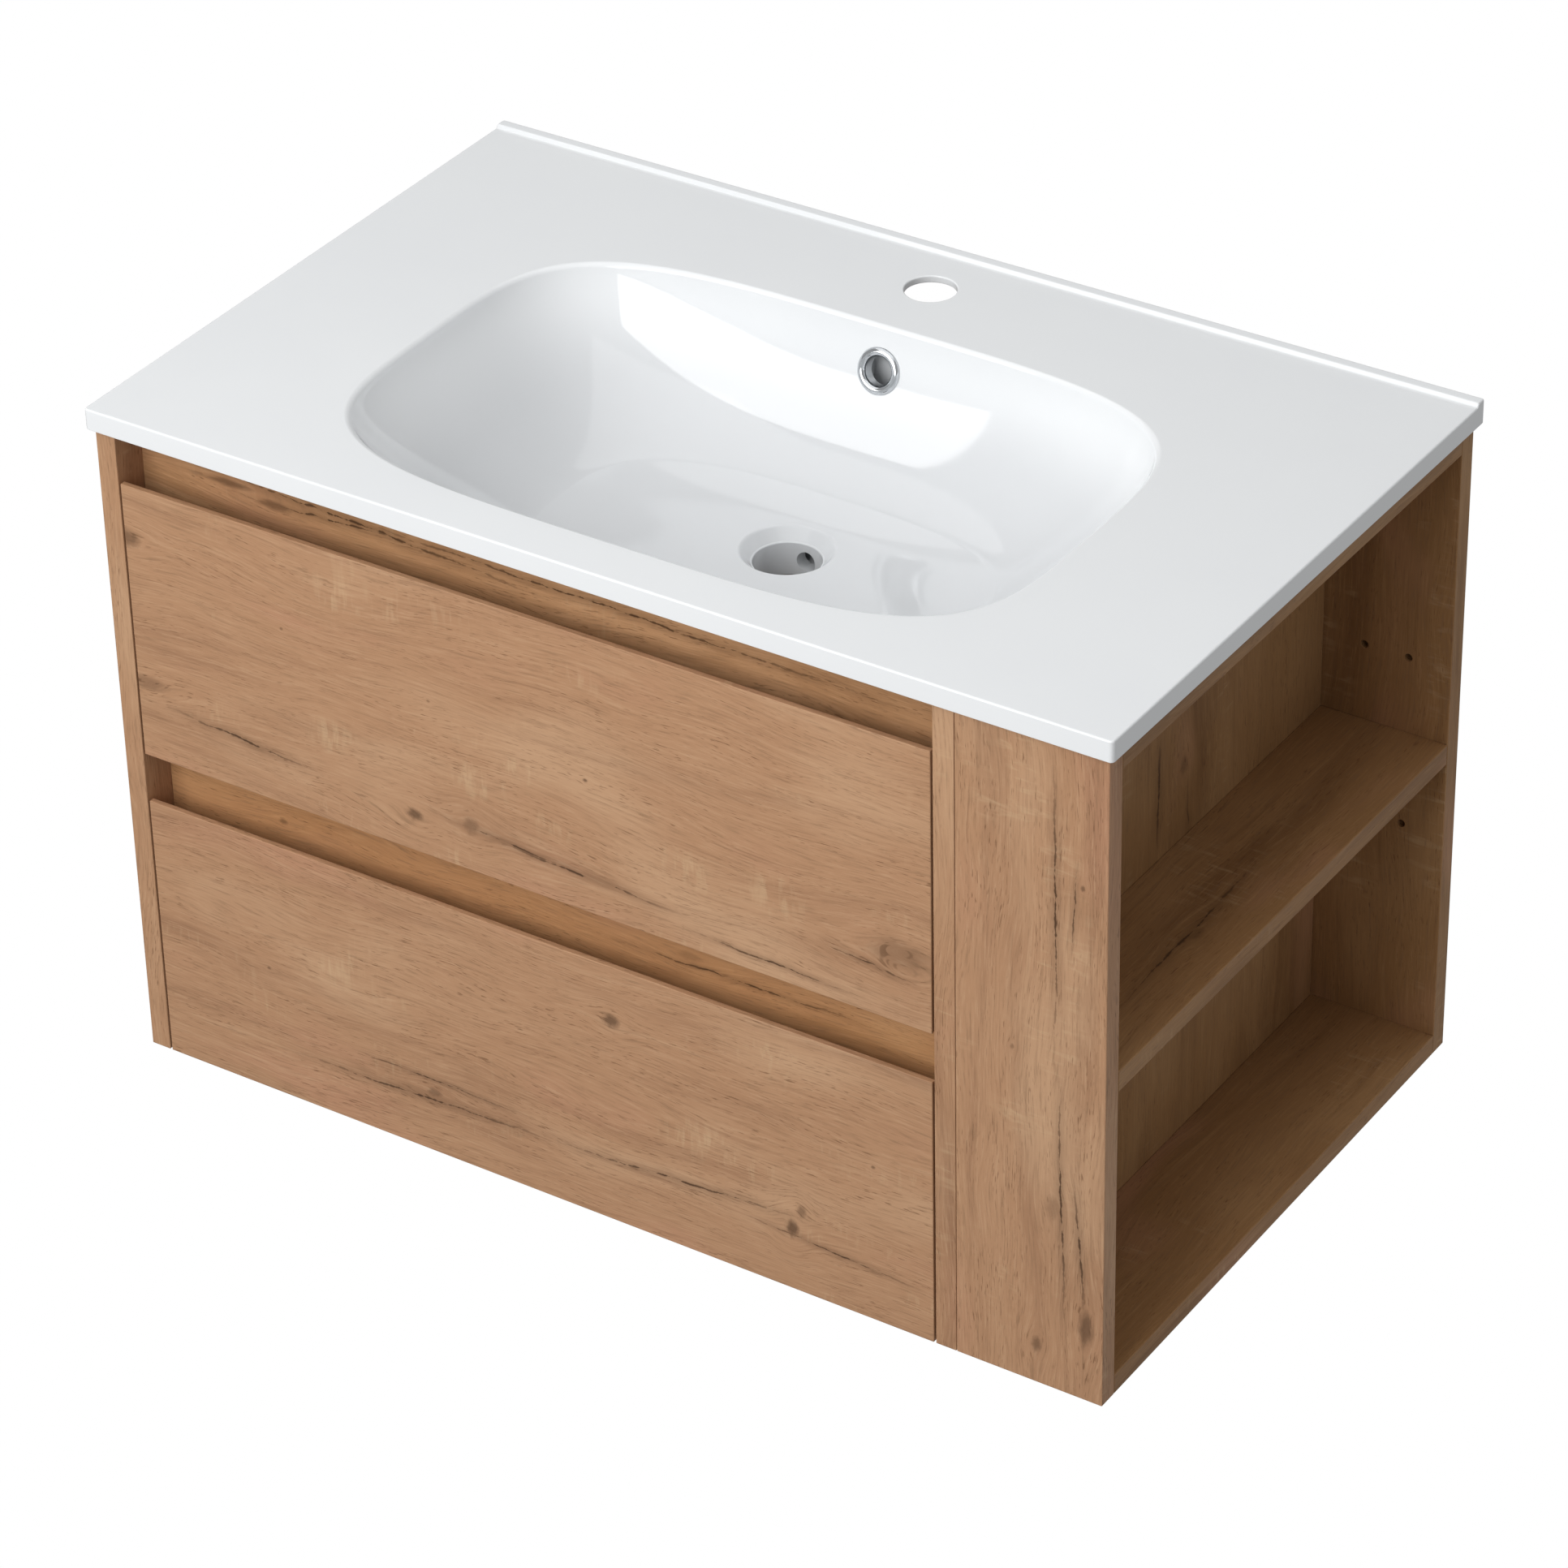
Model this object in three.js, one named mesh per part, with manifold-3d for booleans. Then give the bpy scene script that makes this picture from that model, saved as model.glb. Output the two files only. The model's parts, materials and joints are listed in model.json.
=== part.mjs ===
// A wall-hung bathroom vanity: a one-piece moulded basin top on an oak-decor cabinet with two
// drawers on full-extension runners and an open side shelf. Millimetres, +Z up, +Y towards the wall.
// The design is laid out with z = 0 at the cabinet's underside, y = 0 at the wall and x = 0 on the
// centre line of the basin top, and the whole group is then lowered so that the origin is the middle
// of the upper back rail's rear face, where the cabinet is bolted to the wall.
import * as THREE from "three";
import { mergeVertices } from "three/addons/utils/BufferGeometryUtils.js";
import Module from "manifold-3d";

const wasm = await Module();
wasm.setup();

// ---- Driving dimensions ----------------------------------------------------------------------

// Basin top
const topWidth = 750;
const topDepth = 460;
const topEdge = 15;
const deckThickness = 5;
const edgeReturn = 14;
const topCornerRadius = 3;
const lipHeight = 2.5;
const lipDepth = 8;
const rimFrontMargin = 37;
const rimBackMargin = 110;
const rimExponent = 4;
const rimRounding = 3;
const wallDepth = 97;
const floorFall = 10;
const floorExponent = 3;
const bowlWall = 6;
const sideInset = 92;
const sideSharpness = 1.3;
const frontInset = 80;
const frontSharpness = 1.15;
const backInset = 61;
const backSharpness = 1.65;
const tapHoleDiameter = 35;
const tapHoleFromBack = 52;
const drainFromBack = 227;
const drainRecessDiameter = 64;
const drainHoleDiameter = 45;
const drainRecessDepth = 9;
const collarDiameter = 64;
const collarLength = 33;
const overflowDepth = 30.5;
const overflowBore = 24;
const overflowSeatHeight = 6;
const overflowPortDiameter = 14;
const portBelowFloor = 21;
const ductWidth = 40;
const ductWall = 5;
const ductBackMargin = 92;

// Chrome ring of the overflow
const ringFlangeDiameter = 31;
const ringFlangeThickness = 2.6;
const ringOpening = 19.5;
const ringSleeveLength = 8;

// Cabinet
const cabinetHeight = 480;
const overhangLeft = 1.5;
const overhangRight = 6.5;
const overhangFront = 8;
const board = 15;
const shelfTopThickness = 18;
const shelfWallThickness = 12;
const shelfUnitWidth = 105.5;
const railSetback = 26;
const railLap = 22;
const railBoard = 15;
const backRailHeight = 90;
const tapNotchWidth = 120;
const tapNotchDepth = 38;
const bowlRelief = 1;

// Drawer fronts
const lowerFrontHeight = 201;
const lowerGripGap = 36.5;
const upperGripGap = 38.5;
const frontBoard = 15;
const frontGap = 1.5;
const gripFlat = 4;

// Drawer boxes
const boxBoard = 15;
const lowerBoxHeight = 148;
const boxBottomThickness = 5;
const boxBottomRaise = 10;
const grooveDepth = 6;
const cutoutWidth = 160;
const cutoutFromDrain = 75;

// Runners
const runnerWidth = 13;
const runnerSheet = 1.2;
const runnerHeight = 45;
const ballDiameter = 2;
const webGap = 1;
const upperRunnerRaise = 40;
const lowerRunnerRaise = 55;

// Shelf pins and wall brackets
const pinDiameter = 5;
const pinGrip = 10;
const pinPitch = 32;
const pinFromOpenSide = 31;
const pinRowOffset = 64;
const bracketSheet = 2;
const bracketHeight = 50;
const bracketLeg = 42;
const wallBoltHole = 8;

// Clearances
const slip = 0.3;
const bowlToDivider = 3;
const bowlToBox = 20;
const boxClearance = 4.5;
const boxToBack = 37;
const cutRun = 2;

// ---- Places that follow from them ------------------------------------------------------------

const cabinetLeft = -topWidth / 2 + overhangLeft;
const cabinetRight = topWidth / 2 - overhangRight;
const cabinetFront = -topDepth + overhangFront;
const topSurface = cabinetHeight + topEdge;
const bayLeft = cabinetLeft + board;
const bayRight = cabinetRight - shelfUnitWidth - board;
const rimHalfWidth = bayRight - bowlToDivider;
const bowlDepth = wallDepth + floorFall;
const collarBottom = topSurface - bowlDepth - collarLength;
const drainY = -drainFromBack;
const shelfLeft = bayRight + board + slip;
const shelfWallRight = shelfLeft + shelfWallThickness;
const shelfCeiling = cabinetHeight - shelfTopThickness;
const shelfMiddle = (board + shelfCeiling) / 2;
const upperFrontTop = cabinetHeight - upperGripGap;
const upperFrontBottom = lowerFrontHeight + lowerGripGap;
const railFront = cabinetFront + railSetback;
const middleRailBottom = lowerFrontHeight - railLap;
const middleRailTop = upperFrontBottom + railLap;
const boxLeft = bayLeft + runnerWidth;
const boxRight = bayRight - runnerWidth;
const boxFront = cabinetFront + frontBoard;
const boxBack = -boxToBack;
const upperBoxBottom = middleRailTop + boxClearance;
const upperBoxTop = topSurface - bowlDepth - bowlWall - bowlToBox;
const lowerBoxBottom = board + boxClearance;
const hangHeight = cabinetHeight - backRailHeight / 2;

// ---- Materials -------------------------------------------------------------------------------

const gelCoat = new THREE.MeshStandardMaterial({ color: 0xeef0f2, roughness: 0.08, metalness: 0 });
const oakDecor = new THREE.MeshStandardMaterial({ color: 0xb48c66, roughness: 0.45, metalness: 0 });
const boxDecor = new THREE.MeshStandardMaterial({ color: 0xa98460, roughness: 0.5, metalness: 0 });
const chrome = new THREE.MeshStandardMaterial({ color: 0xd9dbdd, roughness: 0.06, metalness: 1 });
const zincSteel = new THREE.MeshStandardMaterial({ color: 0xa9adb0, roughness: 0.32, metalness: 1 });

// ---- Solids: closed meshes that can be joined and cut ------------------------------------------

function solidOf(geometry) {
  const bare = geometry.index ? geometry.toNonIndexed() : geometry.clone();
  bare.deleteAttribute("normal");
  bare.deleteAttribute("uv");
  const merged = mergeVertices(bare, 1e-4);
  return new wasm.Manifold(
    new wasm.Mesh({
      numProp: 3,
      vertProperties: merged.attributes.position.array,
      triVerts: new Uint32Array(merged.index.array),
    }),
  );
}

function geometryOf(solid) {
  const mesh = solid.getMesh();
  const geometry = new THREE.BufferGeometry();
  geometry.setAttribute("position", new THREE.BufferAttribute(mesh.vertProperties, 3));
  geometry.setIndex(new THREE.BufferAttribute(mesh.triVerts, 1));
  geometry.computeVertexNormals();
  return geometry;
}

function boxSolid([x0, x1], [y0, y1], [z0, z1]) {
  const geometry = new THREE.BoxGeometry(x1 - x0, y1 - y0, z1 - z0);
  geometry.translate((x0 + x1) / 2, (y0 + y1) / 2, (z0 + z1) / 2);
  return solidOf(geometry);
}

// A round bar centred on a point, along the X, Y or Z axis, or tilted about X from the Y axis.
function roundSolid(diameter, length, centre, axis, tilt = 0) {
  const geometry = new THREE.CylinderGeometry(diameter / 2, diameter / 2, length, 40);
  if (axis === "x") geometry.rotateZ(Math.PI / 2);
  if (axis === "z") geometry.rotateX(Math.PI / 2);
  geometry.rotateX(tilt);
  geometry.translate(centre[0], centre[1], centre[2]);
  return solidOf(geometry);
}

function drillAlongY(solid, centres, diameter, length) {
  return centres.reduce((drilled, at) => drilled.subtract(roundSolid(diameter, length, at, "y")), solid);
}

// A profile drawn in the YZ plane and extruded along X from x0 to x1.
function profileAlongX(points, x0, x1) {
  const shape = new THREE.Shape(points.map(([y, z]) => new THREE.Vector2(y, z)));
  const geometry = new THREE.ExtrudeGeometry(shape, { depth: x1 - x0, bevelEnabled: false });
  const toWorld = new THREE.Matrix4().makeBasis(
    new THREE.Vector3(0, 1, 0),
    new THREE.Vector3(0, 0, 1),
    new THREE.Vector3(1, 0, 0),
  );
  geometry.applyMatrix4(toWorld);
  geometry.translate(x0, 0, 0);
  return geometry;
}

const vanity = new THREE.Group();
const design = new THREE.Group();
design.position.z = -hangHeight;
vanity.add(design);

function place(parent, name, geometry, material) {
  const mesh = new THREE.Mesh(geometry, material);
  mesh.name = name;
  parent.add(mesh);
  return mesh;
}

// A flat board or block between two corners, placed by its centre.
function addBoard(parent, name, material, [x0, x1], [y0, y1], [z0, z1]) {
  const geometry = new THREE.BoxGeometry(x1 - x0, y1 - y0, z1 - z0);
  const mesh = place(parent, name, geometry, material);
  mesh.position.set((x0 + x1) / 2, (y0 + y1) / 2, (z0 + z1) / 2);
  return mesh;
}

function addSolid(parent, name, material, solid) {
  return place(parent, name, geometryOf(solid), material);
}

// ---- Basin top -------------------------------------------------------------------------------

// How far a bowl wall has moved inwards at a depth: upright at the rim, level where it meets the floor.
function wallInset(depth, inset, sharpness) {
  const sunk = Math.min(1, depth / wallDepth);
  return inset * (1 - Math.pow(1 - Math.pow(sunk, sharpness), 1 / sharpness));
}

// A soft rectangle at one depth. spread is the wall thickness added all round for the outside.
function bowlRing(depth, spread) {
  const level = Math.max(0, depth);
  const edge = Math.max(0, rimRounding - level);
  const rounding = spread > 0 ? 0 : rimRounding - Math.sqrt(rimRounding ** 2 - edge ** 2);
  const grow = spread + rounding;
  const halfWidth = rimHalfWidth - wallInset(level, sideInset, sideSharpness) + grow;
  const front = -topDepth + rimFrontMargin + wallInset(level, frontInset, frontSharpness) - grow;
  const back = -rimBackMargin - wallInset(level, backInset, backSharpness) + grow;
  const share = Math.min(1, level / wallDepth);
  return {
    halfWidth,
    halfDepth: (back - front) / 2,
    centreY: (back + front) / 2,
    exponent: rimExponent + (floorExponent - rimExponent) * share,
    z: topSurface - depth,
  };
}

// Between the foot of the wall and the drain, the floor is a blend from soft rectangle to circle.
function floorRing(share, start, endRadius, endDepth) {
  const mix = (a, b) => a + (b - a) * share;
  const endZ = topSurface - endDepth;
  return {
    halfWidth: mix(start.halfWidth, endRadius),
    halfDepth: mix(start.halfDepth, endRadius),
    centreY: mix(start.centreY, drainY),
    exponent: mix(start.exponent, 2),
    z: start.z + (endZ - start.z) * Math.sin((share * Math.PI) / 2),
  };
}

function ringPoints(ring, segments) {
  const points = [];
  for (let i = 0; i < segments; i += 1) {
    const angle = (2 * Math.PI * i) / segments;
    const c = Math.cos(angle);
    const s = Math.sin(angle);
    const reach = Math.pow(Math.abs(c) ** ring.exponent + Math.abs(s) ** ring.exponent, -1 / ring.exponent);
    points.push([ring.halfWidth * reach * c, ring.centreY + ring.halfDepth * reach * s, ring.z]);
  }
  return points;
}

// A closed solid through a stack of rings, from the highest down, with a flat cap at each end.
function loftSolid(rings, segments) {
  const rows = rings.map((ring) => ringPoints(ring, segments));
  const first = rings[0];
  const last = rings[rings.length - 1];
  const positions = rows.flat(2);
  const topCentre = positions.length / 3;
  positions.push(0, first.centreY, first.z);
  positions.push(0, last.centreY, last.z);
  const faces = [];
  for (let i = 0; i < segments; i += 1) {
    const next = (i + 1) % segments;
    faces.push(topCentre, i, next);
    const base = (rows.length - 1) * segments;
    faces.push(topCentre + 1, base + next, base + i);
    for (let row = 0; row < rows.length - 1; row += 1) {
      const upper = row * segments;
      const lower = upper + segments;
      faces.push(upper + i, lower + i, lower + next);
      faces.push(upper + i, lower + next, upper + next);
    }
  }
  const geometry = new THREE.BufferGeometry();
  geometry.setAttribute("position", new THREE.Float32BufferAttribute(positions, 3));
  geometry.setIndex(faces);
  return solidOf(geometry);
}

const bowlSegments = 64;
const wallRows = 9;
const floorRows = 4;

// Depths crowd towards the rim and the foot, where the wall bends most.
function wallDepths(from, to, rows) {
  const depths = [];
  for (let i = 0; i <= rows; i += 1) {
    depths.push(from + (to - from) * (0.5 - 0.5 * Math.cos((Math.PI * i) / rows)));
  }
  return depths;
}

function bowlInside() {
  const rings = [bowlRing(0, 0)];
  rings[0].z += cutRun;
  rings.push(bowlRing(0, 0), bowlRing(rimRounding * 0.15, 0), bowlRing(rimRounding * 0.5, 0));
  wallDepths(rimRounding, wallDepth, wallRows).forEach((depth) => rings.push(bowlRing(depth, 0)));
  const foot = bowlRing(wallDepth, 0);
  for (let i = 1; i <= floorRows; i += 1) {
    rings.push(floorRing(i / floorRows, foot, drainRecessDiameter / 2, bowlDepth));
  }
  const drain = rings[rings.length - 1];
  const throat = {
    halfWidth: drainHoleDiameter / 2,
    halfDepth: drainHoleDiameter / 2,
    centreY: drainY,
    exponent: 2,
    z: drain.z - drainRecessDepth,
  };
  const outlet = { ...throat, z: collarBottom - cutRun };
  rings.push(throat, outlet);
  return loftSolid(rings, bowlSegments);
}

function bowlOutside(spread) {
  const rings = wallDepths(deckThickness / 2, wallDepth, wallRows).map((depth) => bowlRing(depth, spread));
  const foot = rings[rings.length - 1];
  for (let i = 1; i <= floorRows; i += 1) {
    rings.push(floorRing(i / floorRows, foot, drainRecessDiameter / 2 + spread, bowlDepth));
  }
  const lowest = rings[rings.length - 1];
  rings.slice(1).forEach((ring, i) => {
    ring.z -= spread * Math.min(1, (i + 1) / wallRows);
  });
  rings.push({ ...lowest, z: lowest.z - spread * 0.5 });
  return loftSolid(rings, bowlSegments);
}

const overflowInset = wallInset(overflowDepth, backInset, backSharpness);
const overflowStep = 0.5;
const overflowRise = wallInset(overflowDepth + overflowStep, backInset, backSharpness) - overflowInset;
const overflowTilt = Math.atan2(overflowRise, overflowStep);
const overflowCentre = [
  0,
  -rimBackMargin - overflowInset,
  topSurface - overflowDepth,
];

// A point on the overflow's axis, some way out into the bowl.
function alongOverflow(distance) {
  const [x, y, z] = overflowCentre;
  return [x, y - distance * Math.cos(overflowTilt), z + distance * Math.sin(overflowTilt)];
}

function slabSolid() {
  const halfWidth = topWidth / 2;
  const r = topCornerRadius;
  const outline = new THREE.Shape();
  outline.moveTo(-halfWidth + r, -topDepth);
  outline.lineTo(halfWidth - r, -topDepth);
  outline.absarc(halfWidth - r, -topDepth + r, r, -Math.PI / 2, 0, false);
  outline.lineTo(halfWidth, 0);
  outline.lineTo(-halfWidth, 0);
  outline.lineTo(-halfWidth, -topDepth + r);
  outline.absarc(-halfWidth + r, -topDepth + r, r, Math.PI, 1.5 * Math.PI, false);
  const geometry = new THREE.ExtrudeGeometry(outline, {
    depth: topEdge,
    bevelEnabled: false,
    curveSegments: 4,
  });
  geometry.translate(0, 0, cabinetHeight);
  // The deck is a thin shell: only its edges turn down to the full height.
  const hollow = boxSolid(
    [-halfWidth + edgeReturn, halfWidth - edgeReturn],
    [-topDepth + edgeReturn, -edgeReturn],
    [cabinetHeight - cutRun, topSurface - deckThickness],
  );
  return solidOf(geometry).subtract(hollow);
}

// The overflow duct is a hollow ridge behind the bowl, from the overflow down to the drain collar.
function ductProfile(margin) {
  const back = -ductBackMargin - margin;
  const low = collarBottom + margin;
  const ceiling = topSurface - deckThickness / 2 - margin * 2;
  return [
    [back, ceiling],
    [back - (rimBackMargin - ductBackMargin) * 2, ceiling],
    [drainY + drainHoleDiameter / 2 + margin, topSurface - wallDepth],
    [drainY + drainHoleDiameter / 2 + margin, low],
    [back - backInset, low],
    [back, topSurface - wallDepth * 0.6],
  ];
}

function basinTop() {
  const halfWidth = topWidth / 2;
  const outside = bowlOutside(bowlWall);
  const lip = boxSolid([-halfWidth, halfWidth], [-lipDepth, 0], [cabinetHeight, topSurface + lipHeight]);
  const collarTop = topSurface - wallDepth;
  const collarCentre = [0, drainY, (collarTop + collarBottom) / 2];
  const collar = roundSolid(collarDiameter, collarTop - collarBottom, collarCentre, "z");
  const duct = solidOf(profileAlongX(ductProfile(0), -ductWidth / 2, ductWidth / 2));
  const boreWidth = ductWidth / 2 - ductWall;
  const channelSlug = solidOf(profileAlongX(ductProfile(ductWall), -boreWidth, boreWidth));
  const channel = channelSlug.subtract(outside).subtract(collar);
  const tapY = -tapHoleFromBack;
  const tapZ = topSurface - topEdge / 2;
  const tapHole = roundSolid(tapHoleDiameter, topEdge + 2 * cutRun, [0, tapY, tapZ], "z");
  const boreReach = 2 * bowlWall;
  const boreLength = boreReach + overflowSeatHeight;
  const boreCentre = alongOverflow((overflowSeatHeight - boreReach) / 2);
  const overflowHole = roundSolid(overflowBore, boreLength, boreCentre, "y", -overflowTilt);
  const seatDiameter = ringFlangeDiameter + 2 * slip;
  const seatCentre = alongOverflow(overflowSeatHeight / 2);
  const seat = roundSolid(seatDiameter, overflowSeatHeight, seatCentre, "y", -overflowTilt);
  const portLength = collarDiameter / 2;
  const portCentre = [0, drainY + portLength, topSurface - bowlDepth - portBelowFloor];
  const port = roundSolid(overflowPortDiameter, portLength, portCentre, "y");
  return slabSolid()
    .add(lip)
    .add(outside)
    .add(collar)
    .add(duct)
    .subtract(channel)
    .subtract(bowlInside())
    .subtract(tapHole)
    .subtract(overflowHole)
    .subtract(seat)
    .subtract(port);
}

// The ring is turned: a rounded flange on the wall's face and a sleeve that grips the bore.
function overflowRing() {
  const inner = ringOpening / 2;
  const flange = ringFlangeDiameter / 2;
  const sleeve = overflowBore / 2 - slip;
  const crown = ringFlangeThickness + slip;
  const profile = [
    new THREE.Vector2(inner, -ringSleeveLength),
    new THREE.Vector2(sleeve, -ringSleeveLength),
    new THREE.Vector2(sleeve, slip),
    new THREE.Vector2(flange, slip),
    new THREE.Vector2(flange, slip + crown * 0.3),
    new THREE.Vector2(flange - crown * 0.4, crown * 0.8),
    new THREE.Vector2((flange + inner) / 2, crown),
    new THREE.Vector2(inner + crown * 0.3, crown * 0.8),
    new THREE.Vector2(inner, crown * 0.3),
    new THREE.Vector2(inner, -ringSleeveLength),
  ];
  return new THREE.LatheGeometry(profile, 40);
}

addSolid(design, "basin_top", gelCoat, basinTop());

const overflowMount = new THREE.Group();
overflowMount.position.set(...overflowCentre);
overflowMount.rotation.x = Math.PI - overflowTilt;
place(overflowMount, "overflow_ring", overflowRing(), chrome);
design.add(overflowMount);

// ---- Cabinet ---------------------------------------------------------------------------------

const cabinet = new THREE.Group();
design.add(cabinet);
const bay = [bayLeft, bayRight];
const fullDepth = [cabinetFront, 0];
const fullHeight = [0, cabinetHeight];

addBoard(cabinet, "left_side_panel", oakDecor, [cabinetLeft, bayLeft], fullDepth, fullHeight);
addBoard(cabinet, "divider_panel", oakDecor, [bayRight, bayRight + board], fullDepth, fullHeight);
const underFront = cabinetFront + frontBoard + frontGap;
addBoard(cabinet, "bottom_panel", oakDecor, bay, [underFront, -board], [0, board]);

// The grip rails stand back from the drawer fronts, so that fingers reach the fronts' top edges.
const railDepth = [railFront, railFront + railBoard];
addBoard(cabinet, "middle_grip_rail", oakDecor, bay, railDepth, [middleRailBottom, middleRailTop]);

// The upper rail is hollowed at the back, where the bowl comes within a few millimetres of it.
function upperGripRail() {
  const rail = boxSolid(bay, railDepth, [upperFrontTop - railLap, cabinetHeight]);
  return rail.subtract(bowlOutside(bowlWall + bowlRelief));
}

addSolid(cabinet, "upper_grip_rail", oakDecor, upperGripRail());

// ---- Back rails and the steel angles that hang the cabinet on the wall ---------------------------

const boltZ = cabinetHeight - backRailHeight / 2;
const boltInset = bracketLeg / 2;
const boltXs = [bayLeft + boltInset, bayRight - boltInset];

// The upper rail is notched behind the tap hole, which leaves room for the tap's hoses and a spanner.
function upperBackRail() {
  const rail = boxSolid(bay, [-board, 0], [cabinetHeight - backRailHeight, cabinetHeight]);
  const notchWalls = [-tapNotchWidth / 2, tapNotchWidth / 2];
  const notchHeight = [cabinetHeight - tapNotchDepth, cabinetHeight + cutRun];
  const notch = boxSolid(notchWalls, [-board - cutRun, cutRun], notchHeight);
  const places = boltXs.map((x) => [x, -board / 2, boltZ]);
  return drillAlongY(rail.subtract(notch), places, wallBoltHole, board + 2 * cutRun);
}

addSolid(cabinet, "upper_back_rail", oakDecor, upperBackRail());
addBoard(cabinet, "lower_back_rail", oakDecor, bay, [-board, 0], [0, backRailHeight]);

// One leg of the angle lies on the cabinet's side and the other on the back rail.
function wallAngle(corner, inward) {
  const across = (from, to) => [corner + inward * from, corner + inward * to].sort((a, b) => a - b);
  const rear = -board - slip;
  const height = [boltZ - bracketHeight / 2, boltZ + bracketHeight / 2];
  const sideLeg = boxSolid(across(slip, slip + bracketSheet), [rear - bracketLeg, rear], height);
  const railLeg = boxSolid(across(slip, slip + bracketLeg), [rear - bracketSheet, rear], height);
  const boltPlace = [corner + inward * boltInset, rear - bracketSheet / 2, boltZ];
  return drillAlongY(sideLeg.add(railLeg), [boltPlace], wallBoltHole, bracketSheet + 2 * cutRun);
}

addSolid(cabinet, "left_wall_bracket", zincSteel, wallAngle(bayLeft, 1));
addSolid(cabinet, "right_wall_bracket", zincSteel, wallAngle(bayRight, -1));

// ---- Open side shelf -------------------------------------------------------------------------

const shelfUnit = new THREE.Group();
design.add(shelfUnit);
const shelfDepth = [cabinetFront + board, -board];
const shelfSpan = [shelfWallRight, cabinetRight];
const pinXs = [cabinetRight - pinFromOpenSide, cabinetRight - pinFromOpenSide - pinPitch];
const pinHole = pinDiameter + 2 * slip;
const pinEnds = [
  { end: "front", mouth: shelfDepth[0], inward: 1 },
  { end: "rear", mouth: shelfDepth[1], inward: -1 },
];

// Pin holes at three heights let the shelf be moved; each one stops inside the board.
function drilledPanel({ mouth, inward }) {
  const edge = mouth - inward * board;
  const depth = [Math.min(edge, mouth), Math.max(edge, mouth)];
  const panel = boxSolid([shelfLeft, cabinetRight], depth, fullHeight);
  const holeLength = pinGrip + 2 * cutRun;
  const rises = [-pinRowOffset, 0, pinRowOffset];
  const middle = mouth - (inward * pinGrip) / 2;
  const places = pinXs.flatMap((x) => rises.map((rise) => [x, middle, shelfMiddle + rise]));
  return drillAlongY(panel, places, pinHole, holeLength);
}

addSolid(shelfUnit, "shelf_front_panel", oakDecor, drilledPanel(pinEnds[0]));
addSolid(shelfUnit, "shelf_rear_panel", oakDecor, drilledPanel(pinEnds[1]));
addBoard(shelfUnit, "shelf_inner_wall", oakDecor, [shelfLeft, shelfWallRight], shelfDepth, fullHeight);
addBoard(shelfUnit, "shelf_top", oakDecor, shelfSpan, shelfDepth, [shelfCeiling, cabinetHeight]);
addBoard(shelfUnit, "shelf_bottom", oakDecor, shelfSpan, shelfDepth, [0, board]);

// The middle shelf rests on pins that run into its ends, so nothing shows under it.
function middleShelf() {
  const depth = [shelfDepth[0] + slip, shelfDepth[1] - slip];
  const plank = boxSolid(shelfSpan, depth, [shelfMiddle - board / 2, shelfMiddle + board / 2]);
  const holeLength = 2 * (pinGrip + cutRun);
  const places = pinEnds.flatMap(({ mouth }) => pinXs.map((x) => [x, mouth, shelfMiddle]));
  return drillAlongY(plank, places, pinHole, holeLength);
}

addSolid(shelfUnit, "middle_shelf", oakDecor, middleShelf());

pinEnds.forEach(({ end, mouth }) => {
  pinXs.forEach((x, i) => {
    const shape = new THREE.CylinderGeometry(pinDiameter / 2, pinDiameter / 2, 2 * pinGrip, 20);
    const pin = place(shelfUnit, `shelf_pin_${end}_${i + 1}`, shape, zincSteel);
    pin.position.set(x, mouth, shelfMiddle);
  });
});

// ---- Drawers ---------------------------------------------------------------------------------

const boxRun = [boxFront, boxBack];
const boxInner = [boxLeft + boxBoard + slip, boxRight - boxBoard - slip];
const backRun = [boxBack - boxBoard, boxBack];
const bottomSpan = [boxInner[0] - grooveDepth, boxInner[1] + grooveDepth];

// The front's inner top edge is bevelled at 45 degrees, which leaves a narrow flat to pull on.
function drawerFront(bottom, top) {
  const inner = cabinetFront + frontBoard;
  const profile = [
    [cabinetFront, bottom],
    [inner, bottom],
    [inner, top - frontBoard + gripFlat],
    [cabinetFront + gripFlat, top],
    [cabinetFront, top],
  ];
  return profileAlongX(profile, bayLeft + frontGap, bayRight - frontGap);
}

// A box side has a groove along its inner face, which holds the edge of the drawer's bottom.
function boxSide(outer, inward, [bottom, top], floor) {
  const across = (from, to) => [outer + inward * from, outer + inward * to].sort((a, b) => a - b);
  const side = boxSolid(across(0, boxBoard), boxRun, [bottom, top]);
  const grooveSpan = across(boxBoard - grooveDepth, boxBoard + cutRun);
  const grooveRun = [boxFront - cutRun, boxBack + cutRun];
  return side.subtract(boxSolid(grooveSpan, grooveRun, [floor[0] - slip, floor[1] + slip]));
}

// Both drawers share a front and two grooved sides; the rest of each box is its own.
function startDrawer(label, front, boxHeight) {
  const drawer = new THREE.Group();
  design.add(drawer);
  const floorLow = boxHeight[0] + boxBottomRaise;
  const floor = [floorLow, floorLow + boxBottomThickness];
  place(drawer, `${label}_drawer_front`, drawerFront(front[0], front[1]), oakDecor);
  addSolid(drawer, `${label}_drawer_left_side`, boxDecor, boxSide(boxLeft, 1, boxHeight, floor));
  addSolid(drawer, `${label}_drawer_right_side`, boxDecor, boxSide(boxRight, -1, boxHeight, floor));
  return { drawer, floor, walls: [floor[1] + slip, boxHeight[1]] };
}

const lowerBox = [lowerBoxBottom, lowerBoxBottom + lowerBoxHeight];
const lower = startDrawer("lower", [0, lowerFrontHeight], lowerBox);
addBoard(lower.drawer, "lower_drawer_bottom", boxDecor, bottomSpan, boxRun, lower.floor);
addBoard(lower.drawer, "lower_drawer_back", boxDecor, boxInner, backRun, lower.walls);

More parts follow.
